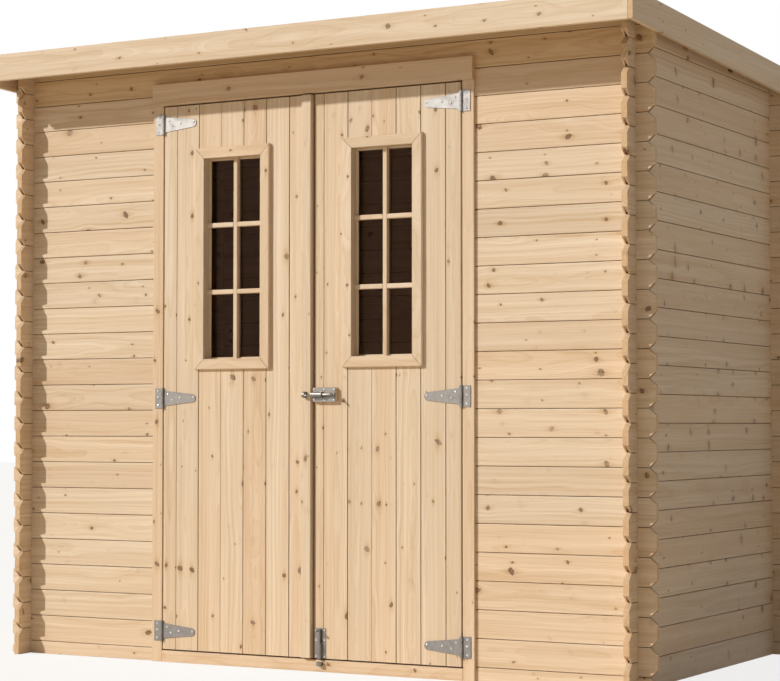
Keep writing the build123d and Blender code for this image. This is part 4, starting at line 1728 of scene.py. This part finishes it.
@dataclass
class Window:
    """Mitred frame, glazing bars, beads and glass of one leaf's window."""

    side: Side
    workshop: Workshop
    moulding: float = 0.035
    proud: float = 0.013
    round: float = 0.004
    ease: float = 0.0012
    liner: float = 0.010
    inner: float = 0.016
    bar: float = 0.0156
    bar_depth: float = 0.017
    rear_bar_depth: float = 0.0045
    bar_gap: float = 0.0003
    bead: float = 0.006
    glass: float = 0.004
    glass_front: float = -0.5355
    glass_reach: float = 0.0038
    glass_ease: float = 0.0004
    liner_ease: float = 0.0008
    bar_ease: float = 0.0028
    bar_rows: Point2 = (-1 / 3, 1 / 3)
    mitre_gap: float = 0.0008

    def ring(
        self, mill: Mill, section: Sequence[Point2], luck: random.Random, middle: float
    ) -> None:
        """Adds four mitred lengths round the opening.

        Args:
            mill: mesh that takes them.
            section: outline as (outwards, y) points.
            luck: source of their seeds.
            middle: middle of the section, from which the grain is measured.
        """
        wide, high, centre = SIZES.window_wide, SIZES.window_high, self.side.window
        for reach, half, along, out in (
            (high, wide, X, Z), (high, wide, X, -Z), (wide, high, Z, X), (wide, high, Z, -X)
        ):
            end = half - self.mitre_gap
            cuts = [Cut(-end, mitre=-1.0), Cut(end, mitre=1.0)]
            setting = Setting(centre + out * reach, along, out, Y)
            mill.board(section, cuts, setting, middle, luck.random())

    def build_frame(self) -> Object:
        """Builds the mouldings, liner, beads and bars.

        Returns:
            The joinery as one object.
        """
        luck, mill = random.Random(LAYOUTS[self.side].window_seed), Mill()
        face, back, ease, wide = SIZES.door_face, SIZES.door_back, self.ease, self.moulding
        front, frame_back, seat = face - self.proud, back + self.inner, face - CLEAR / 2
        nosing = arc((wide - self.round, front + self.round), self.round, -QUARTER, QUARTER, 4)
        near = 0.35 * ease
        corner = [(0.0, front + ease), (near, front + near), (ease, front)]
        self.ring(mill, [(0.0, seat), *corner, *nosing, (wide, seat)], luck, wide / 2)
        liner = rounded(0.0, self.liner, face, frame_back, self.liner_ease, 1)
        self.ring(mill, liner, luck, self.liner / 2)
        inner = rounded(self.liner + self.bar_gap, wide, back + CLEAR, frame_back, ease)
        self.ring(mill, inner, luck, wide / 2)
        pane = (0.0, self.glass_front - CLEAR)
        bead = [pane, *arc(pane, self.bead, 2 * QUARTER, QUARTER, 4)]
        self.ring(mill, bead, luck, 0.0)
        self.add_bars(mill, luck)
        return mill.finish(self.side.label + "_window_joinery")

    def add_bars(self, mill: Mill, luck: random.Random) -> None:
        """Adds an upright bar and two rows of cross bars before the glass, and flat ones behind.

        Args:
            mill: mesh that takes them.
            luck: source of their seeds.
        """
        wide, high, centre = SIZES.window_wide, SIZES.window_high, self.side.window
        half, gap = self.bar / 2, self.bar_gap
        before, behind = self.glass_front, self.glass_front + self.glass + CLEAR
        upright = [Cut(-high + gap), Cut(high - gap)]
        crossing = ([Cut(-wide + gap), Cut(-half - gap)], [Cut(half + gap), Cut(wide - gap)])
        for front, back, ease in (
            (before - self.bar_depth, before - CLEAR, self.bar_ease),
            (behind, behind + self.rear_bar_depth, self.ease),
        ):
            section = rounded(-half, half, front, back, ease, 3)
            mill.board(section, upright, Setting(centre, Z, X, Y), 0.0, luck.random())
            for share in self.bar_rows:
                setting = Setting(centre + Z * (high * share), X, Z, Y)
                for cuts in crossing:
                    mill.board(section, cuts, setting, 0.0, luck.random())

    def build_glass(self) -> Object:
        """Builds the pane with ground edges.

        Returns:
            The pane.
        """
        mill = Mill()
        wide, high = SIZES.window_wide + self.glass_reach, SIZES.window_high + self.glass_reach
        setting = Setting(self.side.window + Y * self.glass_front, Z, X, Y)
        section = rounded(-wide, wide, 0.0, self.glass, self.glass_ease, 1)
        mill.board(section, [Cut(-high), Cut(high)], setting, 0.0, 0.5)
        return mill.finish(self.side.label + "_window_pane")

    def build(self) -> None:
        """Builds and dresses the window."""
        shop, body, start = self.workshop, self.side.body, self.side.label + "_window_"
        shop.dress(self.build_frame(), shop.sash, body, "window_timber", start + "frame")
        shop.dress(self.build_glass(), shop.glass, body, "glass", start + "glass")


def inset(outline: Sequence[Point2], amount: float) -> list[Point2]:
    """Moves each corner of an outline inwards by an amount, square to its two sides.

    Args:
        outline: corners in order.
        amount: distance that each side moves.

    Returns:
        The smaller outline.
    """
    pairs = zip(outline, [*outline[1:], outline[0]])
    area = sum(here[0] * there[1] - there[0] * here[1] for here, there in pairs)
    turn = 1.0 if area > 0 else -1.0
    moved = []
    for index, (x, z) in enumerate(outline):
        before, after = outline[index - 1], outline[(index + 1) % len(outline)]
        first = Vector((x - before[0], z - before[1])).normalized()
        second = Vector((after[0] - x, after[1] - z)).normalized()
        inward = Vector((-first.y - second.y, first.x + second.x)) * turn
        scale = amount * 2 / max(inward.length_squared, 0.5)
        moved.append((x + inward.x * scale, z + inward.y * scale))
    return moved


class Forge:
    """Collects ironwork as closed shells of one mesh."""

    sharp = math.radians(35)
    saddle_ease = 0.0006
    saddle_steps = 32

    def __init__(self) -> None:
        """Starts with an empty mesh."""
        self.mesh = bmesh.new()
        self.finish_index = 0

    def loft(
        self, rings: Sequence[Sequence[Vector]], smooth: bool = False, closed: bool = False
    ) -> None:
        """Joins rings of points, and closes both ends or joins the last ring to the first.

        Args:
            rings: equally long rings of points.
            smooth: whether the sides are shaded smooth.
            closed: whether the last ring joins the first.
        """
        made = [[self.mesh.verts.new(point) for point in ring] for ring in rings]
        faces = [(corners, smooth) for _, corners in between(made, closed)]
        faces += [] if closed else [(made[0], False), (made[-1][::-1], False)]
        for corners, smoothed in faces:
            face = self.mesh.faces.new(corners)
            face.smooth, face.material_index = smoothed, self.finish_index

    def plate(
        self, outline: Sequence[Point2], back: float, thickness: float, ease: float = 0.0005
    ) -> None:
        """Adds a flat plate that faces the front, with an eased front rim.

        Args:
            outline: corners as (x, z) points.
            back: y of its back.
            thickness: its thickness.
            ease: width of the eased rim.
        """
        front = back - thickness
        layers = ((outline, back), (outline, front + ease), (inset(outline, ease), front))
        self.loft([[Vector((x, y, z)) for x, z in points] for points, y in layers])

    def turned(
        self, start: Vector, axis: Vector, profile: Sequence[Point2], segments: int = 24
    ) -> None:
        """Adds a turned piece.

        Args:
            start: where its axis starts.
            axis: direction of the axis.
            profile: (radius, place along the axis) points.
            segments: facets round the axis.
        """
        side = axis.orthogonal().normalized()
        other = axis.cross(side)
        turns = [math.tau * index / segments for index in range(segments)]
        spokes = [side * math.cos(turn) + other * math.sin(turn) for turn in turns]
        self.loft(
            [[start + axis * along + spoke * radius for spoke in spokes]
             for radius, along in profile],
            smooth=True,
        )

    def saddle(
        self, start: Vector, along: Vector, span: Point2, outer: float, inner: float, foot: float
    ) -> None:
        """Adds a sleeve that is round in front and square down to the plate behind it.

        Args:
            start: point of its axis from which its ends are measured.
            along: direction of the axis.
            span: places of its ends along the axis.
            outer: outer radius.
            inner: radius of the hole.
            foot: distance from the axis to the plate.
        """
        side, ease = along.cross(Y), self.saddle_ease
        turns = [math.tau * step / self.saddle_steps for step in range(self.saddle_steps)]
        shell, hole = [], []
        for out, across in ((math.cos(turn), math.sin(turn)) for turn in turns):
            reach = outer
            if out < -1e-6:
                reach = min(outer / max(abs(across), 1e-6), foot / -out)
            spoke = -Y * out + side * across
            shell.append((spoke, reach))
            hole.append((spoke, inner))
        low, high = span
        self.loft([
            [start + along * place + spoke * (reach + grow) for spoke, reach in ring]
            for ring, place, grow in (
                (shell, low, -ease), (shell, low + ease, 0.0), (shell, high - ease, 0.0),
                (shell, high, -ease), (hole, high, ease), (hole, high - ease, 0.0),
                (hole, low + ease, 0.0), (hole, low, ease),
            )
        ], smooth=True, closed=True)

    def finish(self, name: str, *finishes: Material) -> Object:
        """Makes the ironwork an object, with its faces turned outwards.

        Args:
            name: name of the object.
            finishes: its materials, by finish index.

        Returns:
            The object, at the origin.
        """
        bmesh.ops.recalc_face_normals(self.mesh, faces=self.mesh.faces[:])
        piece = linked_object(name, self.mesh)
        piece.data.set_sharp_from_angle(angle=self.sharp)
        for finish in finishes:
            piece.data.materials.append(finish)
        return piece


@dataclass(frozen=True)
class HingeHalf:
    """Kind of hinge half: which way it lies from the pin, and its screws' places and seed."""

    kind: str
    way: int
    seed: int
    screws: tuple[Point2, ...]


STRAP = HingeHalf(
    "strap", -1, 6, ((0.1217, 0.003), (0.0676, 0.002), (0.0355, -0.0050), (0.0200, 0.0130))
)
PLATE = HingeHalf("plate", 1, 5, ((0.0190, 0.0035), (0.0190, 0.0245), (0.0190, -0.0235)))


@dataclass
class TeeHinges:
    """The three T-hinges of one leaf, with bright zinc on the top one."""

    side: Side
    workshop: Workshop
    axis_x: float = 0.5605
    axis_y: float = -0.5674
    heights: tuple[float, ...] = (0.103, 0.875, 1.792)
    sheet: float = 0.0025
    knuckle: float = 0.0045
    knuckle_ease: float = 0.0007
    gap: float = 0.0004
    plate_width: float = 0.0315
    plate_height: float = 0.067
    plate_corner: float = 0.0015
    strap_length: float = 0.131
    root_height: float = 0.049
    tip_height: float = 0.027
    middle_knuckle: float = 0.033
    tab_ease: float = 0.0002
    flare: tuple[Point2, ...] = ((0.0026, 0.0052), (0.0050, 0.0016))
    root_end: Point2 = (0.0012, 0.009)
    pin: Point2 = (0.0020, 0.0012)
    pin_rise: float = 0.0006
    facets: int = 12

    def spread(self, points: Sequence[Point2], middle: float, way: int) -> list[Point2]:
        """Places points, given from the pin and the hinge's middle; way is -1 on the leaf."""
        side = self.side.value
        return [(side * (self.axis_x + way * reach), middle + rise) for reach, rise in points]

    def strap(self) -> list[Point2]:
        """Outline of a strap: flared root, taper and round tip.

        Returns:
            Distances from the pin and heights above the hinge's middle.
        """
        root, top, half = self.knuckle + self.gap, self.plate_height / 2, self.root_height / 2
        tip = self.tip_height / 2
        square, end = self.root_end
        flare = [(root + reach, half + rise) for reach, rise in self.flare]
        upper = [(root, top), (root + square, top), *flare, (root + end, half)]
        nose = arc((self.strap_length - tip, 0.0), tip, QUARTER, -2 * QUARTER, self.facets)
        return upper + nose + [(place, -height) for place, height in reversed(upper)]

    def plate(self) -> list[Point2]:
        """Outline of a fixed plate with two cut corners, measured as the strap's is."""
        near, far, half, cut = (
            self.knuckle + self.gap, self.plate_width, self.plate_height / 2, self.plate_corner
        )
        return [(near, -half), (far - cut, -half), (far, -half + cut), (far, half - cut),
                (far - cut, half), (near, half)]

    def add_half(self, forge: Forge, middle: float, kind: HingeHalf) -> None:
        """Adds a strap or a plate with its knuckles.

        Args:
            forge: mesh that takes it.
            middle: height of the hinge's middle.
            kind: which of them.
        """
        moving, way = kind is STRAP, kind.way
        half, reach = self.plate_height / 2, self.middle_knuckle
        rises = (-reach / 2,)
        if not moving:
            reach = (self.plate_height - self.middle_knuckle) / 2 - self.gap
            rises = (-half, half - reach)
        outline = self.spread(self.strap() if moving else self.plate(), middle, way)
        forge.plate(outline, SIZES.door_face, self.sheet)
        root, ease, radius = self.knuckle + self.gap, self.knuckle_ease, self.knuckle
        for low in rises:
            first, second = (root, 0.0) if moving else (0.0, root)
            tab = [(first, low), (second, low), (second, low + reach), (first, low + reach)]
            tab = self.spread(tab, middle, way)
            forge.plate(tab, SIZES.door_face, self.sheet, self.tab_ease)
            self.turn(forge, middle + low, [
                (radius - ease, 0.0), (radius, ease), (radius, reach - ease), (radius - ease, reach)
            ], 2 * self.facets)
        if not moving:
            (wide, narrow), rise, length = self.pin, self.pin_rise, self.plate_height
            profile = [(narrow, -rise), (wide, 0.0), (wide, length), (narrow, length + rise)]
            self.turn(forge, middle - half, profile, self.facets)

    def turn(self, forge: Forge, bottom: float, profile: Sequence[Point2], segments: int) -> None:
        """Adds a turned piece about the hinges' axis."""
        start = Vector((self.side.value * self.axis_x, self.axis_y, bottom))
        forge.turned(start, Z, profile, segments)

    def build(self) -> None:
        """Builds and dresses the hinges and their screws."""
        shop, face, screws = self.workshop, SIZES.door_face - self.sheet, []
        for half, body in ((STRAP, self.side.body), (PLATE, "shed")):
            forge, spots, name = Forge(), [], f"{self.side.label}_{half.kind}_"
            for middle in self.heights:
                forge.finish_index = int(middle == self.heights[-1])
                self.add_half(forge, middle, half)
                places = self.spread(half.screws, middle, half.way)
                spots += [(Vector((x, face, z)), -Y) for x, z in places]
            irons = forge.finish(name + "irons", shop.zinc, shop.bright_zinc)
            node = f"{self.side.label}_hinge_{half.kind}s"
            shop.dress(irons, shop.zinc, body, STEEL, node)
            screws.append((ScrewSet(name + "screws", spots, seed=half.seed), body))
        for heads, body in screws:
            heads.build(shop, body, shop.screw)


@dataclass
class SlidingBolt:
    """Bolt that slides in a sleeve on its plate, and the keeper that takes its end."""

    part: str
    nodes: tuple[str, str, str]
    bodies: tuple[str, str, str]
    axis: Vector
    along: Vector
    plate_x: Point2
    plate_z: Point2
    plate_back: float
    sleeve: Point2
    sleeve_radius: float
    bolt: Point2
    bolt_radius: float
    knob: float
    knob_end: float
    keeper: Point2
    keeper_radius: float
    keeper_hole: float
    keeper_floor: float
    screw_x: tuple[float, ...]
    screw_z: tuple[float, ...]
    sheet: float = 0.002
    clearance: float = 0.0004
    ease: float = 0.0012
    corner: float = 0.003
    screw_radius: float = 0.0032
    screw_seed: int = 9
    neck: float = 0.0026
    knob_profile: tuple[Point2, ...] = (
        (0.0026, 0.0095), (0.0034, 0.0085), (0.0040, 0.0065), (0.0041, 0.0040),
        (0.0036, 0.0018), (0.0024, 0.0005), (0.0008, 0.0),
    )

    def forge_plate(self, forge: Forge) -> None:
        """Forges the plate and its sleeve.

        Args:
            forge: mesh that takes them.
        """
        outline = rounded(*self.plate_x, *self.plate_z, self.corner, 4)
        forge.plate(outline, self.plate_back, self.sheet)
        foot = self.plate_back - self.sheet - self.axis.y
        hole = self.bolt_radius + self.clearance
        forge.saddle(self.axis, self.along, self.sleeve, self.sleeve_radius, hole, foot)

    def forge_bolt(self, forge: Forge) -> None:
        """Forges the bolt with its knob.

        Args:
            forge: mesh that takes it.
        """
        radius, ease, length = self.bolt_radius, self.ease, self.bolt[1] - self.bolt[0]
        end = [(radius - 2 * ease, 0.0), (radius - 0.6 * ease, 0.4 * ease), (radius, ease)]
        other = [(width, length - place) for width, place in reversed(end)]
        forge.turned(self.axis + self.along * self.bolt[0], self.along, end + other)
        reach = self.axis.y - self.knob_end
        knob = [(width, reach - place) for width, place in self.knob_profile]
        forge.turned(self.axis + self.along * self.knob, -Y, [(self.neck, 0.0), *knob])

    def forge_keeper(self, forge: Forge) -> None:
        """Forges the keeper."""
        foot = self.keeper_floor - self.axis.y
        forge.saddle(
            self.axis, self.along, self.keeper, self.keeper_radius, self.keeper_hole, foot
        )

    def build(self, shop: Workshop) -> None:
        """Builds and dresses the plate, the bolt, the keeper and the screws.

        Args:
            shop: holds the finishes.
        """
        names = (self.part + "_plate_irons", self.part + "_rod", self.part + "_keeper_irons")
        works = (self.forge_plate, self.forge_bolt, self.forge_keeper)
        for name, work, body, node in zip(names, works, self.bodies, self.nodes):
            forge = Forge()
            work(forge)
            shop.dress(forge.finish(name, shop.zinc), shop.zinc, body, STEEL, node)
        front = self.plate_back - self.sheet
        spots = [(Vector((x, front, z)), -Y) for x, z in self.screw_places()]
        screws = ScrewSet(self.part + "_screws", spots, self.screw_radius, self.screw_seed)
        screws.build(shop, self.bodies[0], shop.screw)

    def screw_places(self) -> list[Point2]:
        """Places of the plate's screws, row by row along the bolt."""
        places = itertools.product(self.screw_x, self.screw_z)
        return sorted(places, key=lambda place: place[::1 if self.along == X else -1])


BOLTS = (
    SlidingBolt(
        "latch", ("latch_plate", "latch_bolt", "latch_keeper"),
        ("right_door", "latch", "left_door"), axis=Vector((0.0, -0.5865, 0.883)), along=X,
        plate_x=(0.032, 0.116), plate_z=(0.860, 0.906), plate_back=-0.5755,
        sleeve=(0.032, 0.073), sleeve_radius=0.009, bolt=(0.032, 0.1195), bolt_radius=0.005,
        knob=0.114, knob_end=-0.6105, keeper=(0.0, 0.010), keeper_radius=0.010,
        keeper_hole=0.0065, keeper_floor=-0.5775, screw_x=(0.0375, 0.0740, 0.1100),
        screw_z=(0.8655, 0.9005),
    ),
    SlidingBolt(
        "foot_bolt", ("foot_bolt_plate", "foot_bolt", "foot_bolt_keeper"),
        ("right_door", "foot_bolt", "shed"), axis=Vector((0.0535, -0.5715, 0.0)), along=Z,
        plate_x=(0.0335, 0.0735), plate_z=(0.043, 0.139), plate_back=-0.5625,
        sleeve=(0.043, 0.093), sleeve_radius=0.007, bolt=(0.0455, 0.1375), bolt_radius=0.0045,
        knob=0.132, knob_end=-0.5955, keeper=(0.020, 0.032), keeper_radius=0.0095,
        keeper_hole=0.006, keeper_floor=-0.5625, screw_x=(0.0390, 0.0680),
        screw_z=(0.0495, 0.1010, 0.1325),
    ),
)


@dataclass(frozen=True)
class Lamp:
    """Distant lamp: its direction from the shed, strength, width in degrees and colour."""

    name: str
    direction: Vector
    strength: float
    angle: float
    colour: tuple[float, float, float]

    def hang(self) -> None:
        """Adds the lamp to the scene."""
        lamp = bpy.data.lights.new(self.name, "SUN")
        lamp.energy = self.strength
        lamp.angle = math.radians(self.angle)
        lamp.color = self.colour
        piece = bpy.data.objects.new(self.name, lamp)
        piece.rotation_euler = self.direction.to_track_quat("Z", "Y").to_euler()
        bpy.context.scene.collection.objects.link(piece)


@dataclass(frozen=True)
class FloorFinish(Finish):
    """Pale floor that takes the shed's shadow, nearly white where it is seen."""

    base: Colour = linear(248, 233, 208)
    white_share: float = 0.82

    def surface(self, graph: Graph) -> dict[str, Feed]:
        """What each input of the surface shader gets.

        Args:
            graph: the material's graph.

        Returns:
            Outputs and constants by input.
        """
        nodes = graph.tree.nodes
        mix = graph.add("ShaderNodeMixShader", {
            0: graph.seen() * self.white_share, 1: nodes["Principled BSDF"].outputs[0],
            2: graph.out("ShaderNodeEmission", 0, {"Color": WHITE}),
        })
        graph.feed(nodes["Material Output"].inputs["Surface"], mix.outputs[0])
        return {"Base Color": self.base, "Roughness": 0.9}


class Studio:
    """Camera, lamps, background and floor."""

    camera_place = Vector((3.6136, -6.4942, 0.7835))
    camera_turn = (math.radians(92.264), 0.0, math.radians(29.139))
    lens = 99.64
    sensor = 36.0
    lamps = (
        Lamp("sun", Vector((-0.5965, -0.6397, 0.4848)), strength=2.92, angle=1.6,
             colour=(1.0, 0.985, 0.955)),
        Lamp("bounce", Vector((-0.55, -0.82, 0.16)), strength=0.28, angle=70.0,
             colour=(1.0, 0.84, 0.58)),
    )
    fill = linear(118, 119, 121)
    floor_half = 30.0

    def build(self) -> None:
        """Sets up everything round the shed."""
        scene = bpy.context.scene
        scene.view_settings.view_transform = "Standard"
        data = bpy.data.cameras.new("camera")
        data.lens, data.sensor_width = self.lens, self.sensor
        camera = bpy.data.objects.new("camera", data)
        camera.location, camera.rotation_euler = self.camera_place, self.camera_turn
        scene.collection.objects.link(camera)
        scene.camera = camera
        for lamp in self.lamps:
            lamp.hang()
        self.build_world(scene)
        self.build_floor()

    def build_world(self, scene: bpy.types.Scene) -> None:
        """Soft fill for the shed, and white for what the camera, metal and glass see.

        Args:
            scene: the scene that gets the world.
        """
        scene.world = world = bpy.data.worlds.new("studio")
        world.use_nodes = True
        world.node_tree.nodes.clear()
        graph = Graph(world.node_tree)
        fill = graph.out("ShaderNodeBackground", 0, {"Color": self.fill})
        white = graph.out("ShaderNodeBackground", 0, {"Color": WHITE})
        mix = graph.out("ShaderNodeMixShader", 0, {0: graph.seen(), 1: fill, 2: white})
        graph.add("ShaderNodeOutputWorld", {"Surface": mix})

    def build_floor(self) -> None:
        """Plain pale floor that keeps the shed's shadow."""
        mesh, half = bmesh.new(), self.floor_half
        corners = ((-half, -half), (half, -half), (half, half), (-half, half))
        mesh.faces.new([mesh.verts.new((x, y, 0.0)) for x, y in corners])
        floor = linked_object("studio_floor", mesh)
        floor.data.materials.append(FloorFinish("studio_floor").material())


def main() -> None:
    """Builds the shed piece by piece."""
    logging.basicConfig(level=logging.INFO, format="%(name)s: %(message)s")
    Studio().build()
    workshop = Workshop()
    for assembly in (Walls, Trims, RoofDeck, FloorDeck):
        assembly(workshop).build()
    for side in Side:
        for assembly in (Leaf, Window, TeeHinges):
            assembly(side, workshop).build()
    for bolt in BOLTS:
        bolt.build(workshop)


if __name__ == "__main__":
    main()
